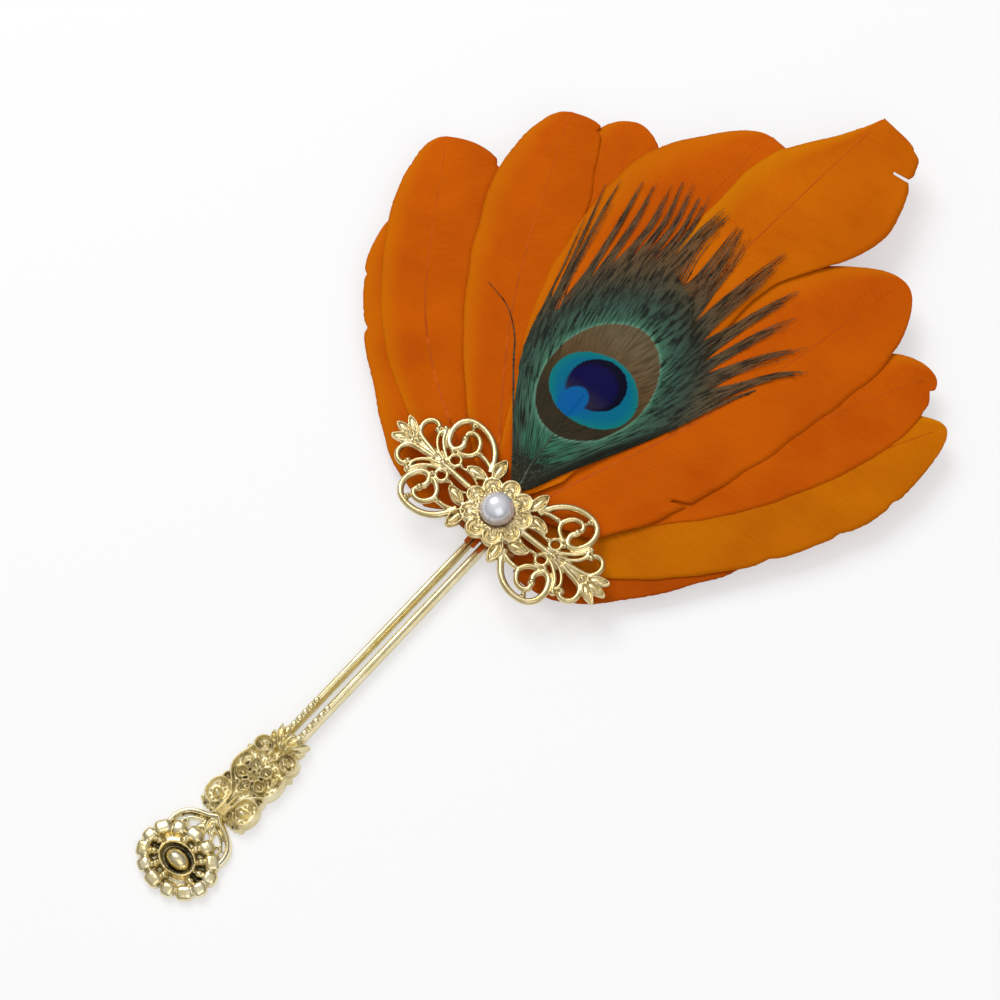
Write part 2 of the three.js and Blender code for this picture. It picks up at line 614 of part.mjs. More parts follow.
// Peacock feather: a spade-shaped vane with the eye in low relief and free barbs round its top
function peacockGeometry() {
  const bottom = layerHeight(peacockLayer);
  const rim = peacockLength;
  const sideShares = [[-0.004, 0.05], [-0.07, 0.13], [-0.155, 0.24], [-0.235, 0.37], [-0.275, 0.52],
    [-0.25, 0.63], [-0.13, 0.7], [0.01, 0.71], [0.12, 0.66], [0.17, 0.54], [0.15, 0.41],
    [0.1, 0.28], [0.035, 0.15], [0.008, 0.05]];
  const outline = sideShares.map(([x, y]) => [x * rim, y * rim]);
  const flatPieces = [slab(roundOutline([...outline, outline[0]], 40), 0, peacockThickness)];
  const eyeXShare = -0.043;
  flatPieces.push(moved(dome(eyeHalfWidth, eyeHalfLength, peacockThickness + eyeRelief, 18, 2),
    eyeXShare * rim, eyeDistance, 0));
  // Free strands: where each leaves the vane, its middle, its tip and its width in barbs
  const strandShares = [
    [-0.24, 0.43, -0.316, 0.612, -0.366, 0.758, 0.7],
    [-0.25, 0.49, -0.326, 0.69, -0.393, 0.878, 1],
    [-0.256, 0.496, -0.312, 0.689, -0.366, 0.905, 1],
    [-0.236, 0.57, -0.27, 0.727, -0.321, 0.936, 1],
    [-0.223, 0.612, -0.255, 0.793, -0.294, 0.963, 1.1],
    [-0.202, 0.64, -0.222, 0.818, -0.26, 0.98, 1],
    [-0.179, 0.669, -0.2, 0.843, -0.241, 1.001, 1],
    [-0.157, 0.67, -0.175, 0.851, -0.215, 1.007, 1],
    [-0.136, 0.675, -0.15, 0.851, -0.184, 1.007, 1],
    [-0.116, 0.694, -0.136, 0.86, -0.164, 1.008, 1.2],
    [-0.087, 0.694, -0.104, 0.851, -0.093, 0.996, 1.8],
    [-0.003, 0.661, -0.012, 0.835, -0.039, 0.997, 2],
    [0.056, 0.603, 0.064, 0.802, 0.089, 0.997, 2],
    [0.091, 0.587, 0.126, 0.777, 0.174, 0.94, 1.6],
    [0.104, 0.537, 0.154, 0.719, 0.216, 0.877, 1.1],
    [0.128, 0.512, 0.197, 0.686, 0.291, 0.831, 1.4],
    [0.13, 0.42, 0.236, 0.649, 0.33, 0.771, 1.3],
  ];
  strandShares.forEach((shares) => flatPieces.push(strand(shares, rim)));
  const strayShares = [[0.002, 0.06], [-0.11, 0.2], [-0.25, 0.36], [-0.36, 0.46], [-0.44, 0.48]];
  flatPieces.push(stroke(strayShares.map(([x, y]) => [x * rim, y * rim]), barbWidth,
    peacockThickness, 12));
  const geometry = fuse(flatPieces);
  const at = geometry.getAttribute("position");
  for (let i = 0; i < at.count; i++) {
    at.setZ(i, at.getZ(i) + bottom + riseAt(at.getX(i), at.getY(i)));
  }
  return geometry;
}

function strand([leaveX, leaveY, middleX, middleY, tipX, tipY, barbs], rim) {
  const curve = new THREE.CatmullRomCurve3([[leaveX, leaveY], [middleX, middleY], [tipX, tipY]]
    .map(([x, y]) => new THREE.Vector3(x * rim, y * rim, 0)));
  const steps = 5;
  const rings = [];
  for (let i = 0; i <= steps; i++) {
    const at = curve.getPointAt(i / steps);
    const along = curve.getTangentAt(i / steps);
    const half = barbWidth * barbs * (1 - 0.8 * i / steps);
    rings.push([[-half, 0], [half, 0], [half, peacockThickness * 0.8],
      [-half, peacockThickness * 0.8]].map(([side, up]) =>
      new THREE.Vector3(at.x - along.y * side, at.y + along.x * side, up)));
  }
  return loft(rings);
}

// Assembly
const fan = new THREE.Group();

function place(name, geometry, material) {
  const mesh = new THREE.Mesh(geometry, material);
  mesh.name = name;
  fan.add(mesh);
}

place("back_pad", padGeometry(), feltOrange);
place("glue_bed", glueGeometry(), amber);
place("rail_left", railGeometry(-1), gold);
place("rail_right", railGeometry(1), gold);
place("leaf_collar", collarGeometry(), gold);
place("openwork_grip", gripGeometry(), darkGold);
place("arch_frame", archGeometry(), gold);
place("rosette", rosetteGeometry(), gold);
gooseFeathers.forEach((feather) => place(feather.name, featherGeometry(feather), feather.colour));
place("peacock_feather", peacockGeometry(), peacockGreen);
place("filigree_plate", plateGeometry(), gold);
place("pearl", pearlGeometry(), pearlWhite);

export default fan;
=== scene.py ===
import math

import bmesh
import bpy
from mathutils import Matrix, Vector, noise
from mathutils.bvhtree import BVHTree
from mathutils.geometry import interpolate_bezier


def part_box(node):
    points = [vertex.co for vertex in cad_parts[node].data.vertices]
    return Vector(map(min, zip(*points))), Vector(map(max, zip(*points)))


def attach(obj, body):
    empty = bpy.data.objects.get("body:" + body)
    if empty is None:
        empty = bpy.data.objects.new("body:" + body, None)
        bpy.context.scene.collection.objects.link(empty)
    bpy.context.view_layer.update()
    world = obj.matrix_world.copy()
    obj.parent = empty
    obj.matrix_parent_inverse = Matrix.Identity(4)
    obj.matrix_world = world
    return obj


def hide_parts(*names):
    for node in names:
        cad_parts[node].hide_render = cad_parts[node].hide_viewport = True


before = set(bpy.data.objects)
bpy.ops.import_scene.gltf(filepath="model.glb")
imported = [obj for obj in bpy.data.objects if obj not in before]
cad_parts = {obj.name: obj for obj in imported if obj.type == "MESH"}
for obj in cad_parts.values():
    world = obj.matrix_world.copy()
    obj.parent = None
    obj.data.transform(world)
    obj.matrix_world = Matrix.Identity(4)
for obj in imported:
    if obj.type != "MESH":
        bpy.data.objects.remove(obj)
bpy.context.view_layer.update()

# Felt backing
# A die-cut piece of orange wool felt, one millimetre thick, glued behind the quills. Its corners
# are round and its cut edge is slightly crushed.
mm = 0.001


def srgb(code):
    """The linear colour of a hex code such as #C85600"""
    shares = [int(code[k:k + 2], 16) / 255 for k in (1, 3, 5)]
    linear = [s / 12.92 if s <= 0.04045 else ((s + 0.055) / 1.055) ** 2.4 for s in shares]
    return (*linear, 1)


def fill_inputs(node, inputs):
    """Sets inputs to values, sockets or nodes. A node gives its first output that is in use."""
    for name, value in inputs.items():
        if isinstance(value, bpy.types.Node):
            value = next(output for output in value.outputs if output.enabled)
        if isinstance(value, bpy.types.NodeSocket):
            node.id_data.links.new(value, node.inputs[name])
        else:
            node.inputs[name].default_value = value


def add_node(material, kind, inputs={}, stops=(), **settings):
    """Adds a shader node with its settings, its inputs and a colour ramp's stops"""
    node = material.node_tree.nodes.new("ShaderNode" + kind)
    for name, value in settings.items():
        setattr(node, name, value)
    fill_inputs(node, inputs)
    for k, (place, colour) in enumerate(stops):
        spots = node.color_ramp.elements
        spot = spots[k] if k < 2 else spots.new(place)
        spot.position = place
        spot.color = srgb(colour)
    return node


def new_material(name, base_inputs):
    """An empty material with its shader and output in place"""
    material = bpy.data.materials.new(name)
    material.use_nodes = True
    material.node_tree.nodes.clear()
    shader = add_node(material, "BsdfPrincipled", base_inputs)
    add_node(material, "OutputMaterial", {"Surface": shader})
    return material, shader


def mottled_material(name, base_inputs, patch_inputs, stops, bump_inputs=None):
    """A material whose colour changes in patches of noise, which may also stand out a little"""
    material, shader = new_material(name, base_inputs)
    place = add_node(material, "TexCoord").outputs["Object"]
    patches = add_node(material, "TexNoise", {"Vector": place, **patch_inputs})
    fill_inputs(shader, {"Base Color": add_node(material, "ValToRGB", {"Fac": patches}, stops)})
    if bump_inputs:
        bump = add_node(material, "Bump", {"Height": patches, **bump_inputs})
        fill_inputs(shader, {"Normal": bump})
    return material


def add_piece(name, shape, materials, slot, *nodes):
    """Makes a finished piece from a bmesh, in place of CAD nodes"""
    bmesh.ops.recalc_face_normals(shape, faces=shape.faces)
    mesh = bpy.data.meshes.new(name)
    shape.to_mesh(mesh)
    shape.free()
    mesh.polygons.foreach_set("use_smooth", [True] * len(mesh.polygons))
    piece = bpy.data.objects.new(name, mesh)
    bpy.context.scene.collection.objects.link(piece)
    for material in materials:
        mesh.materials.append(material)
    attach(piece, "root")
    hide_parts(*nodes)
    return piece


def round_edges(shape, edges, offset, segments):
    """Rounds edges of a shape over a width, in so many steps"""
    bmesh.ops.bevel(shape, geom=edges, offset=offset, segments=segments, profile=0.5,
                    affect="EDGES", material=-1)


felt_corner = 5 * mm
felt_crush = 0.25 * mm
felt_low, felt_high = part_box("back_pad")
shape = bmesh.new()
bmesh.ops.create_cube(shape, size=1)
bmesh.ops.scale(shape, vec=felt_high - felt_low, verts=shape.verts)
bmesh.ops.translate(shape, vec=(felt_high + felt_low) / 2, verts=shape.verts)
upright = [e for e in shape.edges if abs(e.verts[0].co.z - e.verts[1].co.z) > felt_crush]
round_edges(shape, upright, felt_corner, 8)
rims = [e for e in shape.edges if len(e.link_faces) == 2 and e.calc_face_angle() > 1]
round_edges(shape, rims, felt_crush, 3)

# Wool felt scatters light from loose fibres: no gloss, a faint fuzz and uneven dye
wool_felt = mottled_material(
    "Wool_felt_orange", {"Roughness": 0.95, "Sheen Weight": 0.4},
    {"Scale": 1 / (0.5 * mm), "Detail": 6.0, "Distortion": 2.0},
    [(0.3, "#8E4110"), (0.7, "#C86A22")], {"Strength": 0.6, "Distance": 0.2 * mm})
felt = add_piece("felt_backing", shape, [wool_felt], "felt", "back_pad")

# Glue bed
# Hot-melt glue, squeezed out between the felt and the quills and set hard. It is amber, a little
# clouded, and its surface is wavy where it flowed.
hot_melt_glue = mottled_material(
    "Hot_melt_glue_amber", {"Roughness": 0.28, "Subsurface Weight": 0.3,
                            "Subsurface Scale": 2 * mm, "Coat Weight": 0.3},
    {"Scale": 1 / (3 * mm), "Detail": 3.0}, [(0.35, "#9C5F1C"), (0.7, "#D19A48")],
    {"Strength": 0.5, "Distance": 0.5 * mm})
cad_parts["glue_bed"].data.materials.clear()
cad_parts["glue_bed"].data.materials.append(hot_melt_glue)

# Handle rails
# Two slim bars of cast brass under light gold plate, side by side with an open slot. Each has a
# round top between two narrow ledges, and a chased pattern of small lozenges near the collar.


def extrude(shape, faces, by):
    """Extrudes faces of a shape by a vector"""
    grown = bmesh.ops.extrude_face_region(shape, geom=faces)["geom"]
    bmesh.ops.translate(shape, vec=by,
                        verts=[g for g in grown if isinstance(g, bmesh.types.BMVert)])


def sweep(shape, frames, sides=8):
    """Adds a closed bar that follows frames, each a matrix of the section's place and size"""
    bar = bmesh.new()
    ring = bmesh.ops.create_circle(bar, cap_ends=True, segments=sides, radius=1,
                                   matrix=frames[0])
    face = ring["verts"][0].link_faces[0]
    for last, following in zip(frames, frames[1:]):
        grown = bmesh.ops.extrude_face_region(bar, geom=[face])["geom"]
        face = next(g for g in grown if isinstance(g, bmesh.types.BMFace))
        bmesh.ops.transform(bar, matrix=following @ last.inverted(), verts=face.verts)
    bmesh.ops.recalc_face_normals(bar, faces=bar.faces)
    mesh = bpy.data.meshes.new("bar")
    bar.to_mesh(mesh)
    bar.free()
    shape.from_mesh(mesh)
    bpy.data.meshes.remove(mesh)


def flat_frames(points, widths, heights):
    """Frames along a path that lies flat: the section's first axis is level, its second is up"""
    frames = []
    for k, point in enumerate(points):
        along = (points[min(k + 1, len(points) - 1)] - points[max(k - 1, 0)]).normalized()
        side = Vector((along.y, -along.x, 0)).normalized()
        up = side.cross(along)
        columns = (side * widths[k], up * heights[k], along, point)
        frame_here = Matrix.Identity(4)
        for c, column in enumerate(columns):
            frame_here.col[c][:3] = column
        frames.append(frame_here)
    return frames


def gold_plate(name, pale, deep, shade_colour, roughness, shade_reach=(0.05, 0.55), stipple=0.18):
    """Light gold plate on cast brass: bright and slightly hammered, with painted shade darkening
    its recesses.
    The painted shade runs from where light hardly reaches to where it reaches well."""
    material, shader = new_material(name, {"Metallic": 1.0, "Roughness": roughness})
    place = add_node(material, "TexCoord").outputs["Object"]
    recess = add_node(material, "AmbientOcclusion", {"Distance": 1.6 * mm},
                      samples=8, only_local=True)
    tarnish = add_node(material, "TexNoise",
                       {"Vector": place, "Scale": 1 / (4 * mm), "Detail": 4.0})
    plate = add_node(material, "ValToRGB", {"Fac": tarnish}, [(0.35, deep), (0.65, pale)])
    # Painted shade: the recesses, found by ambient occlusion, are darkened towards the shade
    # colour
    shade_amount = add_node(material, "MapRange",
                    {"Value": recess.outputs["AO"], "From Min": shade_reach[0], "From Max": shade_reach[1]})
    mixed = add_node(material, "Mix",
                     {"Factor": shade_amount, "A": srgb(shade_colour),
                      "B": plate}, data_type="RGBA")
    grain = add_node(material, "TexNoise",
                     {"Vector": place, "Scale": 1 / (0.7 * mm), "Detail": 3.0})
    hammered = add_node(material, "Bump",
                        {"Height": grain, "Strength": stipple, "Distance": 0.15 * mm})
    fill_inputs(shader, {"Base Color": mixed, "Normal": hammered})
    return material


# The fourth colour of each gold plate is the painted shade in its recesses
rail_gold = gold_plate("Gold_plate_on_brass_bar", "#F1E4BC", "#E2D29A", "#6E5E30", 0.26)
rail_profile_shares = [(-1, 0), (1, 0), (1, 0.42), (0.82, 0.5), (0.78, 0.66), (0.6, 0.86),
                       (0.32, 0.97), (0, 1), (-0.32, 0.97), (-0.6, 0.86), (-0.78, 0.66),
                       (-0.82, 0.5), (-1, 0.42)]
lozenge_pitch = 2.3 * mm
lozenges = 6
for side in ("left", "right"):
    low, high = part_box(f"rail_{side}")
    middle = (low + high) / 2
    half_width = (high.x - low.x) / 2
    height = high.z - low.z
    shape = bmesh.new()
    corners = [shape.verts.new((middle.x + x * half_width, low.y, low.z + z * height))
               for x, z in rail_profile_shares]
    extrude(shape, [shape.faces.new(corners)], (0, high.y - low.y, 0))
    rims = [e for e in shape.edges if abs(e.verts[0].co.y - e.verts[1].co.y) < height]
    round_edges(shape, rims, 0.12 * half_width, 2)
    for k in range(lozenges):
        at = Matrix.Translation((middle.x, low.y + (k + 1.6) * lozenge_pitch, high.z))
        size = Matrix.Diagonal((half_width * 0.7, lozenge_pitch * 0.46, height * 0.2, 1))
        bmesh.ops.create_icosphere(shape, subdivisions=3, radius=1, matrix=at @ size)
    add_piece(f"rail_bar_{side}", shape, [rail_gold], "handle_gold", f"rail_{side}")

# Leaf collar
# A cast sleeve where the rails enter the grip, with pointed leaves that lie over the rails'
# ends. It is soldered to the grip and gold plated with it.


def smooth_line(points, steps):
    """Even steps along a smooth line through points, and its length"""
    ends = [2 * points[0] - points[1], *points, 2 * points[-1] - points[-2]]
    dense = []
    for a, b, c, d in zip(ends, ends[1:], ends[2:], ends[3:]):
        before, here, after = ((q - p).length ** 0.5 for p, q in ((a, b), (b, c), (c, d)))
        leaving = ((b - a) / before - (c - a) / (before + here) + (c - b) / here) * here
        arriving = ((c - b) / here - (d - b) / (here + after) + (d - c) / after) * here
        dense.extend(interpolate_bezier(b, b + leaving / 3, c - arriving / 3, c, 40))
    lengths = [0]
    for a, b in zip(dense, dense[1:]):
        lengths.append(lengths[-1] + (b - a).length)
    line = []
    k = 0
    for step in range(steps + 1):
        reach = lengths[-1] * step / steps
        while k < len(dense) - 2 and lengths[k + 1] < reach:
            k += 1
        span = max(lengths[k + 1] - lengths[k], 1e-9)
        line.append(dense[k].lerp(dense[k + 1], (reach - lengths[k]) / span))
    return line, lengths[-1]


def add_wire(shape, points, width, height, bottom):
    """A drawn stroke of a casting, with a round front. Its lower half is cut off later."""
    path = [Vector((x * mm, y * mm, bottom)) for x, y in points]
    length = smooth_line(path, 1)[1]
    steps = max(6, round(length / (0.5 * mm)))
    line = smooth_line(path, steps)[0]
    sweep(shape, flat_frames(line, [width / 2 * mm] * (steps + 1), [height * mm] * (steps + 1)),
          sides=10)


def add_bead(shape, x, y, half_length, half_width, height, bottom, turn=0):
    """A round or oval boss. Its lower half is cut off later."""
    place = (Matrix.Translation((x * mm, y * mm, bottom)) @ Matrix.Rotation(turn, 4, "Z")
             @ Matrix.Diagonal((half_length * mm, half_width * mm, height * mm, 1)))
    bmesh.ops.create_icosphere(shape, subdivisions=3, radius=1, matrix=place)


def add_leaf(shape, root, tip, half_width, height, bottom):
    """A pointed leaf with a groove along its middle"""
    root, tip = Vector(root), Vector(tip)
    aside = Vector((tip.y - root.y, root.x - tip.x)).normalized() * half_width
    for side in (-1, 1):
        middle = root.lerp(tip, 0.45) + aside * side * 0.55
        line, _ = smooth_line([Vector((p.x * mm, p.y * mm, bottom)) for p in (
            root + aside * side * 0.15, middle, tip)], 14)
        swell = [math.sin(math.pi * (0.12 + 0.86 * k / 14)) for k in range(15)]
        sweep(shape, flat_frames(line, [half_width * 0.62 * mm * s for s in swell],
                                 [height * mm * (0.35 + 0.65 * s) for s in swell]), sides=10)


def add_cup(shape, root, tip, half_width, height, bottom, rim_width=0.8):
    """A leaf or petal with a raised rim round a shallow, domed hollow"""
    root, tip = Vector(root), Vector(tip)
    along = tip - root
    aside = Vector((along.y, -along.x)).normalized() * half_width
    rim = [root + along * s + aside * w for s, w in (
        (0, 0), (0.18, 0.62), (0.45, 1), (0.75, 0.78), (1, 0), (0.75, -0.78), (0.45, -1),
        (0.18, -0.62), (0, 0), (0.18, 0.62))]
    add_wire(shape, [tuple(p) for p in rim], rim_width, height, bottom)
    middle = root.lerp(tip, 0.5)
    add_bead(shape, middle.x, middle.y, along.length * 0.42, half_width * 0.62, height * 0.7,
             bottom, math.atan2(along.y, along.x))


def cast_in_one(shape, voxel, bottom):
    """Joins the strokes to one casting with soft corners and a flat back"""
    mesh = bpy.data.meshes.new("pattern")
    shape.to_mesh(mesh)
    shape.free()
    pattern = bpy.data.objects.new("pattern", mesh)
    bpy.context.scene.collection.objects.link(pattern)
    joining = pattern.modifiers.new("joining", "REMESH")
    joining.mode = "VOXEL"
    joining.voxel_size = voxel
    softening = pattern.modifiers.new("softening", "SMOOTH")
    softening.iterations = 2
    finished = pattern.evaluated_get(bpy.context.evaluated_depsgraph_get())
    casting = bmesh.new()
    casting.from_mesh(finished.to_mesh())
    finished.to_mesh_clear()
    bpy.data.objects.remove(pattern)
    bmesh.ops.bisect_plane(casting, geom=casting.verts[:] + casting.edges[:] + casting.faces[:],
                           dist=1e-6, plane_co=(0, 0, bottom), plane_no=(0, 0, 1),
                           clear_inner=True)
    rims = [e for e in casting.edges if e.is_boundary]
    bmesh.ops.triangle_fill(casting, use_beauty=True, edges=rims, normal=(0, 0, -1))
    return casting


cast_gold = gold_plate("Gold_plate_on_cast_brass", "#F3E7BE", "#DFCE92", "#5E5230", 0.3,
                       stipple=0.4)
voxel = 0.2 * mm                 # of the castings' remeshing
sleeve_width, sleeve_length, sleeve_height = 8.6 * mm, 4.6 * mm, 9.6 * mm
sleeve_middle = -87.2 * mm
sleeve_rounding = 1.2 * mm
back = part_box("leaf_collar")[0].z
shape = bmesh.new()
sleeve = bmesh.ops.create_cube(shape, size=1)["verts"]
bmesh.ops.scale(shape, vec=(sleeve_width, sleeve_length, sleeve_height), verts=sleeve)
bmesh.ops.translate(shape, vec=(0, sleeve_middle, 0), verts=sleeve)
round_edges(shape, shape.edges[:], sleeve_rounding, 3)
# What is drawn for a casting is in millimetres from the pearl's middle and from the back. A leaf
# has its root and tip, then half its width and its height.
collar_leaves = [((0.2, -91), (-5.1, -84.3), 1.4, 6.4), ((-0.4, -90), (-3.2, -82.9), 1.2, 5.8),
                 ((0.6, -91), (5.4, -84.5), 1.4, 6.3), ((0.4, -90), (2.9, -83.2), 1.1, 5.6),
                 ((-0.2, -91), (0.1, -84.6), 1, 6.2), ((-2.6, -90.4), (-5.6, -87), 1, 5.2),
                 ((2.6, -90.4), (5.6, -87), 1, 5.2), ((-1.6, -91.6), (-2.4, -88), 1, 5.4),
                 ((1.6, -91.6), (2.4, -88), 1, 5.4)]
for root, tip, half_width, leaf_height in collar_leaves:
    add_leaf(shape, root, tip, half_width, leaf_height, back)
casting = cast_in_one(shape, voxel, back)
add_piece("leaf_collar_cast", casting, [cast_gold], "handle_gold", "leaf_collar")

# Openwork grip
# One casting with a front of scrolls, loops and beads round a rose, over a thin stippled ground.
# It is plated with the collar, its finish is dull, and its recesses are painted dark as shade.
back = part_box("openwork_grip")[0].z
ground = 2.3                     # the ground's height over the back
below_back = 1                   # what the cut at the back takes off
shape = bmesh.new()
outline = [(1, -89.8), (5.9, -89.8), (7.4, -92.4), (6.9, -95.4), (7.3, -98), (7.4, -102),
           (6.8, -104.6), (8, -108.2), (7.9, -112.6), (6.4, -114.2), (1, -115.1)]
outline += [(-x, y) for x, y in reversed(outline)]
slab = [shape.verts.new((x * mm, y * mm, back - below_back * mm)) for x, y in outline]
extrude(shape, [shape.faces.new(slab)], (0, 0, (below_back + ground) * mm))
pebble_pitch, pebble_rows, pebble_radius, pebble_relief = 1.3, 20, 0.5, 0.65
pebbles_top, pebbles_reach = -90.4, 6.7
for row in range(pebble_rows):
    for column in range(-5, 6):
        x = (column + (row % 2) / 2) * pebble_pitch
        if abs(x) < pebbles_reach:
            add_bead(shape, x, pebbles_top - row * pebble_pitch, pebble_radius, pebble_radius,
                     ground + pebble_relief, back)
for side in (-1, 1):
    # A stroke has its points, then its width and height
    strokes = [
        (((1.3, -94.2), (1.6, -91.4), (3.6, -90), (5.9, -90.5), (7, -92.3), (6.2, -94.2),
          (4.2, -94.7), (2.6, -93.5)), 1.5, 4.3),
        (((6.4, -94.6), (6.9, -96.8), (7.5, -99.4), (7.2, -102), (5.9, -104), (3.8, -105.8),
          (2.2, -107.8), (1.5, -110.6), (1.4, -114.6)), 1.5, 4.2),
        (((1.9, -108), (3.4, -106.7), (5.6, -106.2), (7.3, -107.2), (8.1, -109.6), (7.6, -112.2),
          (5.8, -113.6), (3.6, -113.3), (2.5, -111.9)), 1.4, 4),
        (((5.6, -103.9), (6.9, -105), (6.7, -106.6)), 1.2, 3.7),
        (((5, -113.5), (3.6, -114.6), (1.7, -114.4)), 1.1, 3.3)]
    for points, width, stroke_height in strokes:
        add_wire(shape, [(side * x, y) for x, y in points], width, stroke_height, back)
    # A bead has its place, half its length and width, its height and its turn
    beads = [(3.5, -91.8, 1, 0.9, 4.2, 0), (5.1, -92.9, 0.95, 0.9, 4, 0),
             (7.3, -95.2, 1, 0.9, 3.8, 0), (4.6, -110.6, 2.2, 1.5, 4.4, 0.5),
             (5.2, -108, 1.1, 0.8, 3.6, -0.4), (6.9, -113.9, 1.1, 1, 3.6, 0),
             (3.1, -96, 0.9, 0.9, 3.6, 0), (1.3, -96.7, 0.7, 0.7, 3.6, 0),
             (3, -105, 0.8, 0.7, 3.4, 0)]
    for x, y, half_length, half_width, bead_height, turn in beads:
        add_bead(shape, side * x, y, half_length, half_width, bead_height, back, side * turn)
    add_leaf(shape, (side * 5.4, -100.4), (side * 4.7, -95.9), 1.1, 3.8, back)
rose_x, rose_y = -0.2, -101
rose_petals = 5
rose_turn = 0.9
bud_ring = 1.25
for k in range(rose_petals):
    turn = 2 * math.pi * k / rose_petals + rose_turn
    out = Vector((math.cos(turn), math.sin(turn)))
    root, tip = (out * reach + Vector((rose_x, rose_y)) for reach in (1.6, 5.2))
    add_cup(shape, root, tip, 1.65, 4.3, back, 0.9)
    turn += math.pi / rose_petals
    add_bead(shape, bud_ring * math.cos(turn) + rose_x, rose_y + bud_ring * math.sin(turn), 1,
             0.8, 4.5, back, turn)
add_bead(shape, rose_x, rose_y, 0.75, 0.75, 4.6, back)
add_leaf(shape, (0, -96.2), (0, -92.6), 0.9, 3.9, back)
add_wire(shape, [(0, -106), (0, -110), (0, -114.7)], 1.7, 3.6, back)
casting = cast_in_one(shape, voxel, back)
# Painted shade darkens the grip's recesses, from where light hardly reaches
antique_gold = gold_plate("Gold_plate_on_cast_brass_dull", "#F1E6C0", "#DCCB94", "#74663E",
                          0.38, shade_reach=(0.1, 0.65), stipple=0.6)
add_piece("grip_cast", casting, [antique_gold], "antique_gold", "openwork_grip")

# Arch
# Two bent bars from the grip's foot round to the rosette, with a leafy stem between them. They
# are flat strips, polished on the front.
polished_gold = gold_plate("Gold_plate_on_cast_brass_polished", "#F7EFD4", "#EBDEB2", "#6A5A2C",
                           0.2, shade_reach=(0, 0.4), stipple=0.25)
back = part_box("arch_frame")[0].z
shape = bmesh.new()
for side in (-1, 1):
    strokes = [(((0, -115.2), (2.2, -116.6), (4.8, -117.6), (7.4, -119.2), (9, -121.6),
                 (9.3, -124.9)), 2.1, 3),
               (((1.4, -118.2), (4.1, -119.2), (6.3, -121), (7, -123.6)), 0.9, 2.2),
               (((7.3, -121.9), (6, -121.2), (5, -122.3), (5.8, -123.6)), 1, 2.3)]
    for points, width, stroke_height in strokes:
        add_wire(shape, [(side * x, y) for x, y in points], width, stroke_height, back)
    add_leaf(shape, (side * 0.3, -118), (side * 3.4, -121.9), 0.9, 2.3, back)
add_leaf(shape, (0, -116), (0, -121.2), 1.5, 2.9, back)
casting = cast_in_one(shape, voxel, back)
add_piece("arch_cast", casting, [polished_gold], "handle_gold", "arch_frame")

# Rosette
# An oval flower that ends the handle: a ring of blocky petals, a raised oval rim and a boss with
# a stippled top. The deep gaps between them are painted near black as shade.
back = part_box("rosette")[0].z
half_length, half_width, middle_y = 12.4, 9.6, -131
shape = bmesh.new()
add_bead(shape, 0, middle_y, half_length * 0.86, half_width * 0.86, 1.1, back)
petals = 13
petal_length, petal_lean, petal_rounding = 4.2, 0.22, 1.5 * mm
for k in range(petals):
    turn = 2 * math.pi * (k + 0.5) / petals
    out = Vector((half_length * math.cos(turn), half_width * math.sin(turn)))
    facing = math.atan2(out.y / half_width ** 2, out.x / half_length ** 2)
    petal_height = 3.3 + 0.8 * noise.noise(Vector((k * 3.3, 0, 0)))
    petal_width = 5 if k % 2 else 4.1
    block = bmesh.ops.create_cube(shape, size=1)["verts"]
    bmesh.ops.scale(shape, vec=(petal_length * mm, petal_width * mm, petal_height * 2 * mm),
                    verts=block)
    round_edges(shape, list({e for v in block for e in v.link_edges}), petal_rounding, 4)
    # The new petal lies about the origin, and the others are in place, far from there
    block = [v for v in shape.verts if v.co.length < 5 * mm]
    lean = Matrix.Rotation(petal_lean, 4, "Y")
    at = Matrix.Translation((out.x * 0.81 * mm, (out.y * 0.8 + middle_y) * mm, back))
    bmesh.ops.transform(shape, matrix=at @ Matrix.Rotation(facing, 4, "Z") @ lean, verts=block)
lumps = 11
worn_off = (4, 9)
for k in range(lumps):
    if k in worn_off:
        continue
    turn = 2 * math.pi * (k + 0.3) / lumps
    add_bead(shape, 7.3 * math.cos(turn), middle_y + 5.4 * math.sin(turn), 1.6, 1.4,
             3.4 + 0.5 * noise.noise(Vector((0, k * 2.7, 0))), back, turn + 0.5)
rim = [(5.5 * math.cos(a), middle_y + 4 * math.sin(a))
       for a in (math.pi * i / 8 for i in range(18))]
add_wire(shape, rim, 1.2, 4.1, back)
add_bead(shape, 0, middle_y, 4.3, 3.1, 4.8, back)
casting = cast_in_one(shape, voxel, back)
# Painted shade: the rosette's deep gaps are darkened to near black by occlusion
deep_shaded_gold = gold_plate("Gold_plate_on_cast_brass_deep_shade", "#F4E8C4", "#E4D29A",
                            "#1C2016", 0.24, shade_reach=(0.15, 0.7), stipple=0.5)
add_piece("rosette_cast", casting, [deep_shaded_gold], "handle_gold", "rosette")

# Goose feathers
# Ten wing feathers of a goose, washed, dyed in shades of orange and trimmed; one vane is painted a
# lighter gold as light, and one a darker orange as shade. Each vane is one layer of barbs that
# hook together and lean towards the tip, on both sides of a tapered shaft.
# The quills are glued side by side to the felt, and three long ones run down over the rails.
fan_radius = 179.5 * mm
vane_span = 30 * mm              # the widest half of a vane
vane_thickness = 0.12 * mm
hub_radius = 7.5 * mm            # where the short quills are cut off
butt_reach = 11 * mm             # how far the long quills run down the rails
butt_pitch = 2.3 * mm
layer_pitch = 0.62 * mm
lowest_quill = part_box("rail_left")[1].z + 0.3 * mm
fan_rise = 6 * mm                # how far the longest tip curls up
resting_gap = 0.12 * mm
barb_rows = 150
barb_columns = 11                # on each side of the shaft
barb_lean = 0.17                 # how far a barb leans to the tip, as a share of the feather
pressed_reach = 22 * mm          # up to here the plate presses the vanes flat
arching_span = 45 * mm           # beyond it the vanes arch more and more over this distance
ripple_height = 0.35 * mm
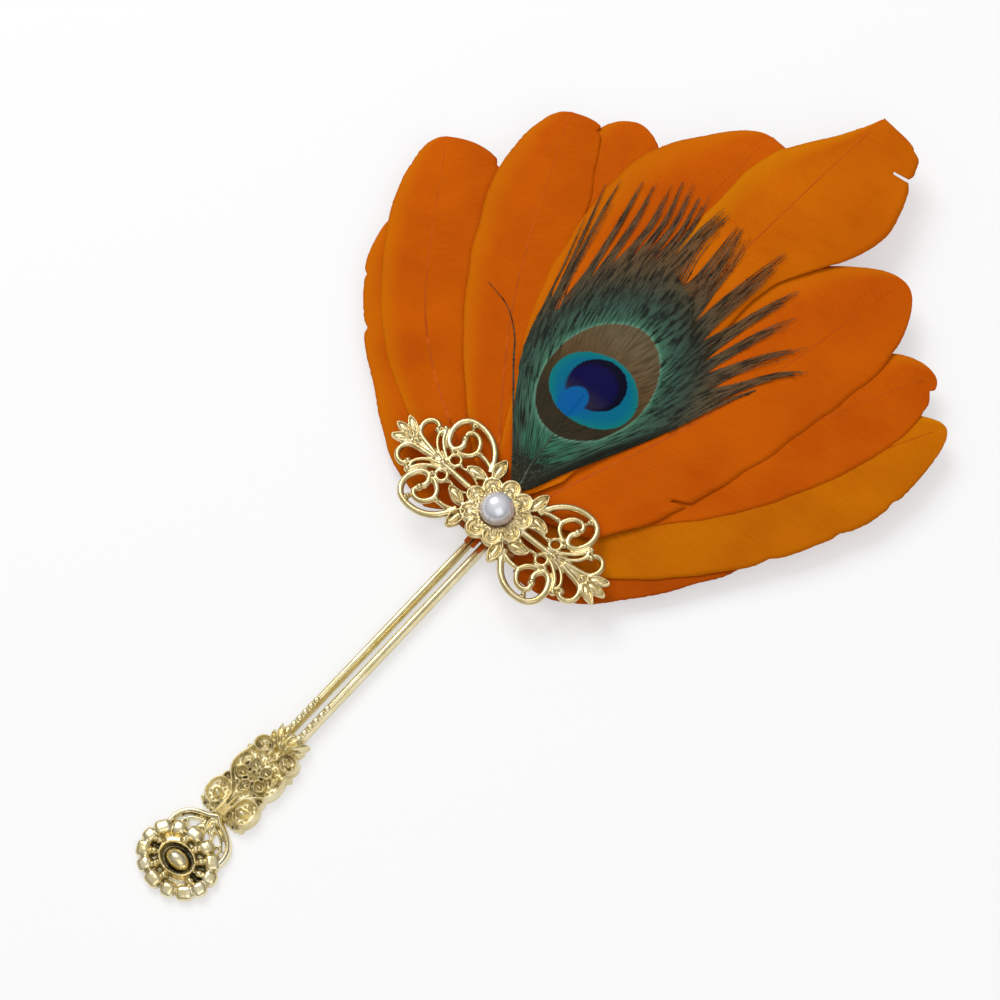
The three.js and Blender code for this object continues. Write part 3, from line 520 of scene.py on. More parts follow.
slit_span = 12 * mm              # how far along the edge a slit bends the barbs apart
shaft_reach = 0.965              # a shaft ends short of the vane's tip
shaft_steps = 90


def towards(degrees, reach):
    """A point at an angle from the fan's middle line, to the right as the fan is seen"""
    turn = math.radians(degrees)
    return Vector((math.sin(turn), math.cos(turn), 0)) * reach


def smooth_share(shares, at):
    """A smooth value between even steps of a list"""
    place = min(max(at, 0), 1) * (len(shares) - 1)
    step = min(int(place), len(shares) - 2)
    p, q, r, s = (shares[min(max(step + k, 0), len(shares) - 1)] for k in (-1, 0, 1, 2))
    t = place - step
    return (q + t * (r - p) / 2 + t * t * (p - 2.5 * q + 2 * r - s / 2)
            + t ** 3 * (1.5 * (q - r) + (s - p) / 2))


def along_line(line, share):
    """The point of a line at a share of its length, and its level normal to the right"""
    place = min(max(share, 0), 1) * (len(line) - 1)
    k = min(int(place), len(line) - 2)
    ahead = line[min(k + 2, len(line) - 1)] - line[max(k - 1, 0)]
    right = Vector((ahead.y, -ahead.x, 0)).normalized()
    return line[k].lerp(line[k + 1], place - k), right


def rise_at(point):
    """How far the fan curls up over a point"""
    return fan_rise * (point.x ** 2 + point.y ** 2) / fan_radius ** 2


def dyed_vane(name, deep, plain, golden, glow):
    """Goose vane dyed in a bath: dull, finely combed, and light shines through a single layer"""
    material, shader = new_material(name, {"Roughness": 0.8, "Specular IOR Level": 0.06})
    place = add_node(material, "TexCoord").outputs["Object"]
    barbs = add_node(material, "UVMap", uv_map="barbs")
    across = add_node(material, "SeparateXYZ", {"Vector": barbs})
    # A barb is about 0.3 mm wide. Its streaks are drawn 0.7 mm wide, to show in the render
    streak_place = add_node(material, "Mapping",
                            {"Vector": barbs, "Scale": (1 / (0.7 * mm), 2.5, 1)})
    streaks = add_node(material, "TexNoise", {"Vector": streak_place, "Scale": 1.0, "Detail": 3.0})
    mottle = add_node(material, "TexNoise",
                      {"Vector": place, "Scale": 1 / (22 * mm), "Detail": 2.0})
    bath = add_node(material, "Math", {0: mottle, 1: 0.62, 2: 0.19}, operation="MULTIPLY_ADD")
    bath_streaks = add_node(material, "Math", {0: streaks, 1: 0.3, 2: bath},
                            operation="MULTIPLY_ADD")
    dye = add_node(material, "ValToRGB", {"Fac": bath_streaks}, [(0.42, deep), (0.78, plain)])
    # Painted light: the outer ends of the left barbs, on the side the key lamp lights, are painted
    # golden
    edge = add_node(material, "MapRange",
                    {"Value": across.outputs["Y"], "From Min": -0.45, "From Max": -1.0,
                     "To Max": 0.6}, interpolation_type="SMOOTHSTEP")
    dye_and_painted_light = add_node(material, "Mix", {"Factor": edge, "A": dye, "B": srgb(golden)},
                        data_type="RGBA")
    comb = add_node(material, "Bump", {"Height": streaks, "Strength": 0.35, "Distance": 0.12 * mm})
    through = add_node(material, "BsdfTranslucent", {"Color": srgb(golden), "Normal": comb})
    both = add_node(material, "MixShader", {"Fac": glow, 1: shader, 2: through})
    fill_inputs(shader, {"Base Color": dye_and_painted_light, "Normal": comb})
    fill_inputs(material.node_tree.nodes["Material Output"], {"Surface": both})
    return material


vanes = {
    "orange": dyed_vane("Goose_vane_dyed_orange", "#BE4E00", "#D66200", "#DA7A00", 0.15),
    "light_orange": dyed_vane("Goose_vane_dyed_light_orange", "#C45A00", "#DA7000", "#E08800",
                              0.15),
    # Painted light: a lighter, more golden copy of the orange vane, for a vane the light falls on
    "lit_golden_orange": dyed_vane("Goose_vane_dyed_orange_painted_light", "#C06000", "#D67800", "#DE8E00",
                               0.15),
    # Painted shade: a darker copy of the orange vane, for a vane that lies in shade
    "shaded_dark_orange": dyed_vane("Goose_vane_dyed_orange_painted_shade", "#A84400", "#C05400", "#C86A00", 0.12),
}

# The shaft is horn, dyed with the vane, and shines a little more
dyed_quill = mottled_material(
    "Goose_quill_dyed_horn", {"Roughness": 0.6, "Specular IOR Level": 0.15},
    {"Scale": 1 / (6 * mm), "Detail": 3.0}, [(0.35, "#BC4E00"), (0.7, "#CE5E00")])

# Each feather's layer counts from the lowest, and its length is a share of fan_radius. Its angles
# are in degrees from the fan's middle line at the root, half way and tip. Widths are shares of
# vane_span at even steps from root to tip, tips are the shares of the length that close the left
# and right edges, and the arch is in millimetres. A notch has its side, its place along the edge,
# its depth and its width in millimetres; a slit its side, its place, where across the vane it
# begins, and its gap in millimetres. A butt is the long quill's place beside the others. The dye
# names the vane material, and the shade another vane material in its place.
feathers = [
    {"name": "feather_left_low", "layer": 0, "length": 0.59, "angles": (-80, -66, -57),
     "left": (0.42, 0.52, 0.5, 0.5, 0.44, 0.34), "right": (0.3, 0.55, 0.6, 0.6, 0.6, 0.5),
     "tips": (0.2, 0.16), "dye": "orange", "arch": 1.2,
     "notches": [(-1, 0.62, 1.2, 3), (-1, 0.8, 0.9, 2)]},
    {"name": "feather_right_short", "layer": 0, "length": 0.43, "angles": (83, 68, 54),
     "left": (0.2, 0.3, 0.4, 0.45, 0.45, 0.4), "right": (0.36, 0.47, 0.42, 0.36, 0.3, 0.24),
     "tips": (0.25, 0.25), "dye": "shaded_dark_orange", "arch": 1},
    {"name": "feather_left_high", "layer": 1, "length": 0.725, "angles": (-68, -60, -48),
     "left": (0.2, 0.34, 0.42, 0.46, 0.46, 0.42), "right": (0.3, 0.55, 0.7, 0.78, 0.74, 0.6),
     "tips": (0.26, 0.1), "dye": "orange", "arch": 1.4,
     "notches": [(1, 0.93, 1.8, 3)]},
    {"name": "feather_right_low", "layer": 1, "length": 0.745, "angles": (56, 46, 37),
     "left": (0.2, 0.4, 0.6, 0.66, 0.5, 0.3), "right": (0.4, 0.58, 0.64, 0.64, 0.58, 0.4),
     "tips": (0.2, 0.3), "dye": "light_orange", "shade": "lit_golden_orange", "arch": 1.6,
     "notches": [(1, 0.5, 0.8, 4), (1, 0.66, 0.9, 4), (1, 0.8, 0.8, 3)]},
    {"name": "feather_right_split", "layer": 2, "length": 0.76, "angles": (37, 33, 30),
     "left": (0.2, 0.4, 0.6, 0.66, 0.6, 0.5), "right": (0.2, 0.4, 0.58, 0.62, 0.56, 0.42),
     "tips": (0.2, 0.25), "dye": "orange", "arch": 1.5,
     "notches": [(1, 0.97, 2.2, 2.5)]},
    {"name": "feather_back_left", "layer": 3, "length": 0.78, "angles": (-22, -23, -23),
     "left": (0.15, 0.3, 0.4, 0.45, 0.45, 0.42), "right": (0.15, 0.3, 0.4, 0.45, 0.5, 0.5),
     "tips": (0.1, 0.26), "dye": "orange", "arch": 1},
    {"name": "feather_upper_left", "layer": 4, "length": 0.772, "angles": (-40, -37, -31.5),
     "left": (0.2, 0.34, 0.46, 0.54, 0.56, 0.5), "right": (0.1, 0.24, 0.4, 0.48, 0.46, 0.36),
     "tips": (0.28, 0.03), "dye": "orange", "arch": 1.8,
     "notches": [(1, 0.965, 1.6, 2)]},
    {"name": "feather_right_broad", "layer": 4, "length": 0.8, "angles": (26, 22, 17.5),
     "left": (0.35, 0.4, 0.6, 0.86, 0.82, 0.5), "right": (0.52, 0.7, 0.68, 0.64, 0.6, 0.5),
     "tips": (0.16, 0.2), "dye": "orange", "arch": 1.8, "butt": 1,
     "slits": [(1, 0.3, 0.75, 0.4)]},
    {"name": "feather_top_broad", "layer": 5, "length": 0.848, "angles": (-20, -15.5, -7),
     "left": (0.2, 0.4, 0.62, 0.8, 0.87, 0.66), "right": (0.2, 0.4, 0.6, 0.7, 0.74, 0.6),
     "tips": (0.3, 0.05), "dye": "orange", "arch": 2, "butt": -1,
     "notches": [(1, 0.97, 1, 2)]},
    {"name": "feather_top_long", "layer": 6, "length": 0.99, "angles": (-3, -0.5, 1.3),
     "left": (0.2, 0.34, 0.46, 0.56, 0.56, 0.1), "right": (0.25, 0.38, 0.44, 0.46, 0.92, 0.56),
     "tips": (0.2, 0.02), "dye": "light_orange", "arch": 2.2, "butt": 0,
     "notches": [(1, 0.985, 2.2, 2.5), (1, 0.93, 1.6, 3)],
     "slits": [(1, 0.93, 0.72, 0.35)]},
]
lower_vanes = []
above_all = 50 * mm


def hit_from_above(tree, x, y):
    """Where a ray straight down meets a vane, or None"""
    return tree.ray_cast(Vector((x, y, above_all)), Vector((0, 0, -1)))[0]


def height_below(point):
    """The highest vane that is already laid under a point. A ray may slip between two faces,
    so two are cast."""
    highest = lowest_quill - resting_gap
    for tree in lower_vanes:
        for aside in (0.03 * mm, -0.02 * mm):
            hit = hit_from_above(tree, point.x + aside, point.y + aside)
            if hit is not None:
                highest = max(highest, hit.z)
    return highest


def settle(resting, passes):
    """Smooths the heights of a vane's vertices, but lets none sink below where it rests"""
    near = {vertex: [e.other_vert(vertex) for e in vertex.link_edges] for vertex in resting}
    for smoothing in range(passes):
        heights = {vertex: (vertex.co.z + sum(other.co.z for other in others)) / (1 + len(others))
                   for vertex, others in near.items()}
        for vertex, height in heights.items():
            vertex.co.z = max(height, resting[vertex])


def thicken(shape, thickness):
    """Gives a laid vane its thickness, downwards, and keeps its top for what is laid on it"""
    lower_vanes.append(BVHTree.FromBMesh(shape))
    extrude(shape, list(shape.faces), (0, 0, -thickness))


for feather in feathers:
    length = fan_radius * feather["length"]
    points = [towards(feather["angles"][0], hub_radius),
              towards(feather["angles"][0], 2.4 * hub_radius),
              towards(feather["angles"][1], length / 2), towards(feather["angles"][2], length)]
    on_rails = "butt" in feather
    if on_rails:
        points[0] = Vector((feather["butt"] * butt_pitch, -butt_reach, 0))
        points.insert(1, Vector((feather["butt"] * butt_pitch * 1.25, -butt_reach * 0.3, 0)))
    line, whole = smooth_line(points, 240)
    bare = (butt_reach + hub_radius * 1.3 if on_rails else hub_radius * 0.3) / whole
    layer_height = lowest_quill + feather["layer"] * layer_pitch

    def half_width(side, edge_share):
        """How far the vane's edge is from the shaft"""
        shares, tip = (feather["left"], feather["tips"][0]) if side < 0 else (
            feather["right"], feather["tips"][1])
        share = bare + (1 - bare) * edge_share
        closing = max(0, (share - 1 + tip) / tip)
        rounded = math.sqrt(max(0, 1 - closing ** 2)) * min(1, edge_share / 0.06)
        width = vane_span * smooth_share(shares, edge_share) * rounded
        for notch_side, place, depth, span in feather.get("notches", ()):
            if notch_side == side:
                nearness = 1 - abs(edge_share - place) * whole / (span * mm)
                width -= depth * mm * max(0, nearness) ** 1.5
        waviness = noise.noise(Vector((edge_share * whole / (9 * mm), side * 7, layer_height
                                       * 1000)))
        fraying = noise.noise(Vector((edge_share * whole / (1.2 * mm), side * 3, 5)))
        return max(width + (waviness * 0.5 + fraying * 0.22) * mm * min(1, width / (3 * mm)),
                   0.15 * mm)

    shape = bmesh.new()
    uv = shape.loops.layers.uv.new("barbs")
    grid = bmesh.ops.create_grid(shape, x_segments=2 * barb_columns, y_segments=barb_rows, size=1)
    spots = {}
    for vertex in grid["verts"]:
        across = vertex.co.x
        row_share = 1 - (1 - (vertex.co.y + 1) / 2) ** 1.3
        edge_share = row_share
        side = 1 if across > 0 else -1
        outward = abs(across)
        for slit_side, place, inner, gap in feather.get("slits", ()):
            if slit_side == side and outward > inner:
                near = max(0, 1 - abs(row_share - place) * whole / slit_span)
                opened = gap * mm / whole * (outward - inner) / (1 - inner) / 2
                edge_share += near * (opened if row_share > place else -opened)
        lean = barb_lean * (1 - edge_share) ** 0.75 * min(1, edge_share / 0.12)
        share = max(0, edge_share - lean * (1 - outward ** 1.15))
        at, right = along_line(line, bare + (1 - bare) * share)
        point = at + right * side * half_width(side, edge_share) * outward ** 0.9
        free = min(1, max(0, (point.length - pressed_reach) / arching_span))
        arch = (feather["arch"] * mm * (1 - outward ** 2)
                * min(1, half_width(side, edge_share) / (10 * mm)) ** 1.5)
        ripple = noise.noise(Vector((share * whole / (14 * mm), across * 0.8,
                                     feather["layer"] * 3.1))) * ripple_height * outward
        point.z = layer_height + rise_at(point) + (arch + ripple) * free
        resting = height_below(point) + resting_gap
        point.z = max(point.z, resting)
        spots[vertex] = (row_share, across, resting)
        vertex.co = point
    settle({vertex: resting for vertex, (_, _, resting) in spots.items()}, 6)
    torn = []
    for face in shape.faces:
        corners = [spots[vertex] for vertex in face.verts]
        for loop, (row_share, across, _) in zip(face.loops, corners):
            loop[uv].uv = (row_share * whole, across)
        for slit_side, place, inner, gap in feather.get("slits", ()):
            if (min(c[0] for c in corners) <= place < max(c[0] for c in corners)
                    and min(c[1] * slit_side for c in corners) >= inner):
                torn.append(face)
    bmesh.ops.delete(shape, geom=torn, context="FACES")
    thicken(shape, vane_thickness)
    vane_faces = set(shape.faces)

    # The shaft rides on the vane, and its bare quill lies in the bundle under the plate
    shaft_points, shaft_widths, shaft_thicknesses = [], [], []
    for step in range(shaft_steps + 1):
        share = shaft_reach * step / shaft_steps
        point, _ = along_line(line, share)
        bare_share = min(1, share / bare)
        lifted = 1
        if on_rails:
            t = min(1, max(0, (bare_share - 0.3) / 0.5))
            lifted = t * t * (3 - 2 * t)
        point = point.copy()
        point.z = lowest_quill + feather["layer"] * layer_pitch * lifted + rise_at(point)
        hit = hit_from_above(lower_vanes[-1], point.x, point.y)
        if hit is not None:
            point.z = hit.z
        slim = (1 - share) ** 0.9
        shaft_widths.append((0.1 + 0.6 * slim) * mm)
        shaft_thicknesses.append((0.12 + (0.2 + 0.4 * (1 - lifted)) * slim) * mm)
        point.z += (0.07 * mm - shaft_thicknesses[-1]) * lifted
        shaft_points.append(point)
    sweep(shape, flat_frames(shaft_points, shaft_widths, shaft_thicknesses), sides=8)
    for face in shape.faces:
        if face not in vane_faces:
            face.material_index = 1
    add_piece(feather["name"].replace("feather", "vane"), shape,
              [vanes[feather.get("shade", feather["dye"])], dyed_quill],
              "feather_" + feather["dye"], feather["name"])

# Peacock feather
# One tail feather with its eye, laid on the goose feathers. Barbs leave the thin shaft on both
# sides, lie close together round the eye, and end in free strands that cling together.

# A strand comes free of the vane at its free share, keeps a share of its width there, and gathers
# to a point. Its path runs from the shaft to its tip, in millimetres. The strands go from the left
# edge round to the right one.
strand_rows = [
    (0.62, 0.4, 0.9, ((-1, 8), (-7.2, 15), (-21.5, 33), (-28.8, 45.4), (-34, 60.1), (-38.2, 74),
           (-44.3, 91.7))),
    (0.6, 0.5, 0.85, ((-1, 9.5), (-8.5, 19), (-18.8, 31.1), (-27.4, 46.6), (-32, 62.8),
          (-37.3, 76.8), (-42.1, 90.6), (-47.5, 106.2))),
    (0.52, 0.55, 0.8, ((-1.5, 12), (-12, 27), (-24.6, 44.3), (-30.6, 58.2), (-33.9, 68.9),
           (-37.7, 83.4), (-41.6, 98.1), (-44.3, 109.5))),
    (0.56, 0.5, 0.8, ((-2, 15), (-13, 32), (-23.6, 53), (-27.7, 66.5), (-31, 79.3), (-34.3, 95.4),
           (-38.8, 113.2))),
    (0.62, 0.65, 0.8, ((-2.5, 19), (-13, 37), (-22.3, 55.1), (-25.8, 67.8), (-28.3, 79.9),
           (-31.3, 99.9), (-35.6, 116.5))),
    (0.66, 0.65, 0.75, ((-3, 23), (-12.5, 41), (-20.4, 60.3), (-22.9, 69.7), (-25.4, 85),
           (-26.9, 102.2), (-31.4, 118.6))),
    (0.66, 0.7, 0.75, ((-3.5, 27), (-11.5, 45), (-18.6, 64.8), (-20.5, 74.8), (-22.7, 89.5),
           (-24.6, 106.5), (-29.2, 121.1))),
    (0.68, 0.7, 0.7, ((-4, 31), (-10.5, 49), (-16.6, 67.9), (-18.1, 76.8), (-20.2, 91.6),
           (-21.5, 106.4), (-26, 121.8))),
    (0.68, 0.7, 0.7, ((-4.5, 35), (-9.5, 52), (-14.5, 70.9), (-15.7, 78.9), (-17.6, 93.7),
           (-18.6, 107), (-22.3, 121.9))),
    (0.68, 0.75, 0.65, ((-5, 39), (-8.5, 55), (-12.3, 74), (-13.7, 82.6), (-15.9, 97),
           (-16.9, 109.7), (-19.9, 122))),
    (0.66, 0.85, 0.4, ((-5.5, 43), (-7, 57), (-8.9, 74.4), (-10.1, 82), (-12.2, 95.9),
           (-12.8, 108.2), (-11.2, 120.5))),
    (0.58, 0.85, 0.5, ((-5.5, 44), (-4, 57), (-1.2, 71.6), (-0.4, 79.4), (-0.6, 92.3), (-2, 104.6),
           (-4.7, 120.6))),
    (0.5, 0.8, 0.88, ((-5, 39), (-0.5, 50), (6.2, 63.6), (7, 76.3), (7.2, 91.1), (9, 106.3),
          (10.8, 120.6))),
    (0.56, 0.75, 0.88, ((-4.5, 33), (2, 46), (9.2, 61.4), (11.2, 73.7), (13.7, 87.1),
           (16.9, 100.4), (21, 113.7))),
    (0.57, 0.7, 0.9, ((-4, 28), (4, 41), (10.7, 56.3), (13.2, 68.2), (16.9, 81.2), (20.8, 93.3),
           (26.1, 106.1))),
    (0.62, 0.7, 0.9, ((-3, 22), (5.5, 36), (12.2, 50.9), (16, 63.6), (20.9, 76.7), (27.6, 89.7),
           (35.2, 100.5))),
    (0.66, 0.7, 0.9, ((-2, 15), (4.4, 25), (10.9, 38.1), (16.9, 51.1), (22.8, 66.3), (27.9, 77.5),
           (33.7, 87), (39.9, 93.3))),
    (0.92, 0.5, 0.9, ((-1, 8), (2.1, 12.3), (6.2, 22), (12.4, 35.1), (19.6, 50.1), (25.8, 66.2),
           (30.5, 77))),
]
strands = [{"free": free, "width": width, "gather": gather,
            "line": smooth_line([Vector((x, y, 0)) * mm for x, y in path], 60)[0]}
           for free, width, gather, path in strand_rows]


def barb_point(strand_at, share):
    """A point on the barb between two strands, at a share of its length"""
    first = min(max(int(strand_at) - 1, 0), len(strands) - 4)
    near = [along_line(strand["line"], share)[0] for strand in strands[first:first + 4]]
    at = (strand_at - first) / 3
    return Vector((smooth_share([p.x for p in near], at),
                   smooth_share([p.y for p in near], at), 0))


# Barbules give the barbs their colours: bronze, turquoise, blue and violet by interference in
# the eye, green round it and brown at the ends. They shine softly, and no dye covers them.
peacock_vane, shader = new_material("Peacock_barbs_iridescent",
                                    {"Roughness": 0.6, "Specular IOR Level": 0.06})
place = add_node(peacock_vane, "TexCoord").outputs["Object"]
barb_map = add_node(peacock_vane, "UVMap", uv_map="barbs")
# A barb is about 0.3 mm wide. Its noise is 0.45 mm wide, to show in the render
barb_place = add_node(peacock_vane, "Mapping",
                      {"Vector": barb_map, "Scale": (1 / (0.45 * mm), 1 / (9 * mm), 1)})
barb_noise = add_node(peacock_vane, "TexNoise",
                      {"Vector": barb_place, "Scale": 1.0, "Detail": 2.0})
specks = add_node(peacock_vane, "TexNoise",
                  {"Vector": barb_map, "Scale": 1 / (0.7 * mm), "Detail": 2.0})
ragged = add_node(peacock_vane, "VectorMath",
                  {0: barb_noise.outputs["Color"], 1: (0.5, 0.5, 0.5)}, operation="SUBTRACT")
nudge = add_node(peacock_vane, "VectorMath", {0: ragged, "Scale": 0.8 * mm}, operation="SCALE")
wavy_place = add_node(peacock_vane, "VectorMath", {0: place, 1: nudge}, operation="ADD")
height = add_node(peacock_vane, "SeparateXYZ", {"Vector": wavy_place})

# The colours lie in zones, each over the one before. A zone is an ellipse with its centre and
# half sizes in millimetres. Its edge is the reach at which it ends, and how soft it ends. Its
# colours run by reach, which is 0 in its middle and 1 on the ellipse, or by the distance up from
# the pearl in millimetres, called height.
# A zone may show only in specks, or only within the disc.
outside = 99                     # a reach that takes in the whole vane
all_heights = 1e6                # an ellipse's half size upwards, which makes it a column
bronze = {"centre": (-5.2, 51), "half": (15.9, 21)}
zones = [
    # green round the eye, and brown towards the free ends
    {**bronze, "edge": (outside, 0.1), "reach": (0.9, 3.4),
     "colours": [(0, "#46705A"), (1, "#6C5034"), (0.08, "#426652"), (0.15, "#3C584A"),
                 (0.26, "#3C463A"), (0.42, "#584A34"), (0.6, "#6C4E32")]},
    # wedge of pale green under the eye
    {"centre": (-3.6, 27.5), "half": (8.6, 8.5), "edge": (0.95, 0.3),
     "colours": [(0, "#3A7056"), (1, "#34664E")]},
    # dark roots of the barbs
    {"centre": (-2, 8), "half": (13, 17), "edge": (0.9, 0.5),
     "colours": [(0, "#141A14"), (1, "#1A241A")], "specks": (specks, 0.35, 0.62)},
    # dark barbs along the lower right edge
    {"centre": (12.5, 33), "half": (3.6, 26), "turn": -26, "edge": (0.95, 0.5),
     "colours": [(0, "#12140C"), (1, "#1A1C12")], "specks": (barb_noise, 0.2, 0.55)},
    # single dark barbs
    {**bronze, "edge": (outside, 0.1), "reach": (1, 3),
     "colours": [(0, "#1A221C"), (1, "#2E2216")], "specks": (barb_noise, 0.6, 0.34)},
    # soft green rim of the bronze field
    {**bronze, "edge": (1.07, 0.16), "reach": (1, 1.15),
     "colours": [(0, "#648F78"), (1, "#34594A"), (0.4, "#42735C")],
     "specks": (barb_noise, 0.3, 0.56)},
    # bronze field
    {**bronze, "edge": (1, 0.03), "height": (40, 66),
     "colours": [(0, "#352E1E"), (1, "#665840"), (0.3, "#463820"), (0.6, "#644C30")]},
    # darker barbs in the bronze field
    {**bronze, "edge": (1, 0.03), "height": (40, 66),
     "colours": [(0, "#2A2418"), (1, "#54462F"), (0.3, "#3A2E1A"), (0.6, "#523E26")],
     "specks": (barb_noise, 0.6, 0.36)},
    # turquoise disc with a greener rim, and blue towards its notch
    {"name": "disc", "centre": (-4.4, 48.1), "half": (14, 11.5), "edge": (1, 0.03),
     "reach": (0.8, 1), "colours": [(0, "#006682"), (1, "#0A7474")]},
    {"within": "disc", "centre": (-6.4, 43), "half": (7, 6.5), "edge": (0.9, 0.6),
     "colours": [(0, "#00569A"), (1, "#005E8C")]},
    # dark kidney, indigo inside and greyer at its foot
    {"centre": (-4.5, 50), "half": (8.9, 8.4), "edge": (1, 0.05),
     "colours": [(0, "#03031C"), (1, "#03031C")]},
    {"centre": (-5.5, 48.5), "half": (8.4, 7.9), "edge": (0.93, 0.2), "height": (44, 48.5),
     "colours": [(0, "#242038"), (1, "#08043E")]},
    {"within": "disc", "centre": (-6.8, 41.4), "half": (4.2, 5.4), "edge": (1, 0.16),
     "colours": [(0, "#00569A"), (1, "#005A94")]},
]
colours = (0, 0, 0, 1)
insides = {}
for zone in zones:
    spot = add_node(peacock_vane, "Mapping",
                    {"Vector": wavy_place,
                     "Location": (zone["centre"][0] * mm, zone["centre"][1] * mm, 0),
                     "Rotation": (0, 0, math.radians(zone.get("turn", 0))),
                     "Scale": (zone["half"][0] * mm, zone["half"][1] * mm, all_heights)},
                    vector_type="TEXTURE")
    reach = add_node(peacock_vane, "VectorMath", {"Vector": spot}, operation="LENGTH")
    if "height" in zone:
        start, end = (y * mm for y in zone["height"])
        measured = height.outputs["Y"]
    else:
        start, end = zone.get("reach", (0, 1))
        measured = reach
    along_ramp = add_node(peacock_vane, "MapRange",
                          {"Value": measured, "From Min": start, "From Max": end})
    paint = add_node(peacock_vane, "ValToRGB", {"Fac": along_ramp}, zone["colours"])
    edge, softness = zone["edge"]
    amount = add_node(peacock_vane, "MapRange",
                      {"Value": reach, "From Min": edge + softness / 2,
                       "From Max": edge - softness / 2}, interpolation_type="SMOOTHSTEP")
    insides[zone.get("name")] = amount
    limit = insides[zone["within"]] if "within" in zone else None
    if "specks" in zone:
        pattern, none_at, full_at = zone["specks"]
        limit = add_node(peacock_vane, "MapRange",
                         {"Value": pattern, "From Min": none_at, "From Max": full_at},
                         interpolation_type="SMOOTHSTEP")
    if limit is not None:
        amount = add_node(peacock_vane, "Math", {0: amount, 1: limit}, operation="MULTIPLY")
    colours = add_node(peacock_vane, "Mix", {"Factor": amount, "A": colours, "B": paint},
                       data_type="RGBA")
comb = add_node(peacock_vane, "Bump",
                {"Height": barb_noise, "Strength": 0.4, "Distance": 0.2 * mm})
fill_inputs(shader, {"Base Color": colours, "Normal": comb})

# Barbs hide most of the thin brown shaft
peacock_shaft = mottled_material(
    "Peacock_shaft_horn", {"Roughness": 0.45}, {"Scale": 1 / (5 * mm), "Detail": 2.0},
    [(0.3, "#2C3226"), (0.7, "#4A5240")])

# The close part of the vane is one sheet of touching barbs
vane_rows = 70
vane_columns = 102
sheet_thickness = 0.12 * mm
sheet_gap = 0.52 * mm            # the goose feathers' shafts stay under it
strand_spacing = 3.2 * mm        # for the noise along and across the barbs
barb_length = 110 * mm
last_strand = len(strands) - 1
shape = bmesh.new()
uv = shape.loops.layers.uv.new("barbs")
grid = bmesh.ops.create_grid(shape, x_segments=vane_columns, y_segments=vane_rows, size=1)
spots = {}
for vertex in grid["verts"]:
    strand_at = (vertex.co.x + 1) / 2 * last_strand
    free = smooth_share([strand["free"] for strand in strands], strand_at / last_strand)
    share = (vertex.co.y + 1) / 2 * free
    point = barb_point(strand_at, share)
    point.z = height_below(point) + sheet_gap
    spots[vertex] = (strand_at, share, point.z)
    vertex.co = point
settle({vertex: resting for vertex, (_, _, resting) in spots.items()}, 60)
for face in shape.faces:
    for loop in face.loops:
        strand_at, share, _ = spots[loop.vert]
        loop[uv].uv = (strand_at * strand_spacing, share * barb_length)
thicken(shape, sheet_thickness)
# A thin strip closes the seam between the two halves of the vane, past the end of the shaft
seam_steps = 24
strip_half_width, strip_half_thickness = 0.3 * mm, 0.05 * mm
seam_line = smooth_line([Vector((x * mm, y * mm, 0)) for x, y in (
    (-4, 30), (-4.6, 34), (-5, 39), (-5.6, 45))], seam_steps)[0]
for point in seam_line:
    point.z = max(height_below(point + Vector((aside, 0, 0))) for aside in (-0.5 * mm, 0.5 * mm))
sweep(shape, flat_frames(seam_line, [strip_half_width] * (seam_steps + 1),
                         [strip_half_thickness] * (seam_steps + 1)))
sheet_faces = set(shape.faces)
shaft_steps = 40
shaft_line = smooth_line([Vector((x * mm, y * mm, 0)) for x, y in (
    (-0.9, 7), (-1.1, 11.3), (-2.6, 17), (-3.4, 24), (-4.6, 34))], shaft_steps)[0]
for point in shaft_line:
    point.z = height_below(point)
steps = range(shaft_steps + 1)
sweep(shape, flat_frames(shaft_line, [(0.5 - 0.4 * k / shaft_steps) * mm for k in steps],
                         [(0.3 - 0.2 * k / shaft_steps) * mm for k in steps]))
for face in shape.faces:
    if face not in sheet_faces:
        face.material_index = 1


def ease(points, passes):
    """Lifts the points of a barb that lie in a dip, as it is stiff"""
    for smoothing in range(passes):
        for row in range(1, len(points) - 1):
            points[row].z = max(points[row].z, (points[row - 1].z + points[row + 1].z) / 2)


def add_barb(shape, points, core, fringe, strand_at, start_share, end_share):
    """One free barb: a ribbon whose edges are toothed by its barbules"""
    rows = len(points) - 1
    grid = bmesh.ops.create_grid(shape, x_segments=1, y_segments=rows, size=1)
    rung = {}
    for vertex in grid["verts"]:
        row = round((vertex.co.y + 1) / 2 * rows)
        across = vertex.co.x
        along = (points[min(row + 1, rows)] - points[max(row - 1, 0)]).normalized()
        right = Vector((along.y, -along.x, 0)).normalized()
        slim = 1 - 0.7 * (row / rows) ** 3
        foot = 1 + 1.3 * max(0, 1 - 3 * row / rows)
        tooth = (0.4 + 0.6 * noise.noise(points[row] / (1.1 * mm)) ** 2 * 4) * (row % 2)
        vertex.co = (points[row] + right * across * (core * foot + fringe * tooth) * slim
                     + along * 0.9 * fringe * (row % 2))
        rung[vertex] = row / rows
    for face in {f for v in grid["verts"] for f in v.link_faces}:
        for loop in face.loops:
            share = start_share + (end_share - start_share) * rung[loop.vert]
            loop[uv].uv = (strand_at * strand_spacing, share * barb_length)


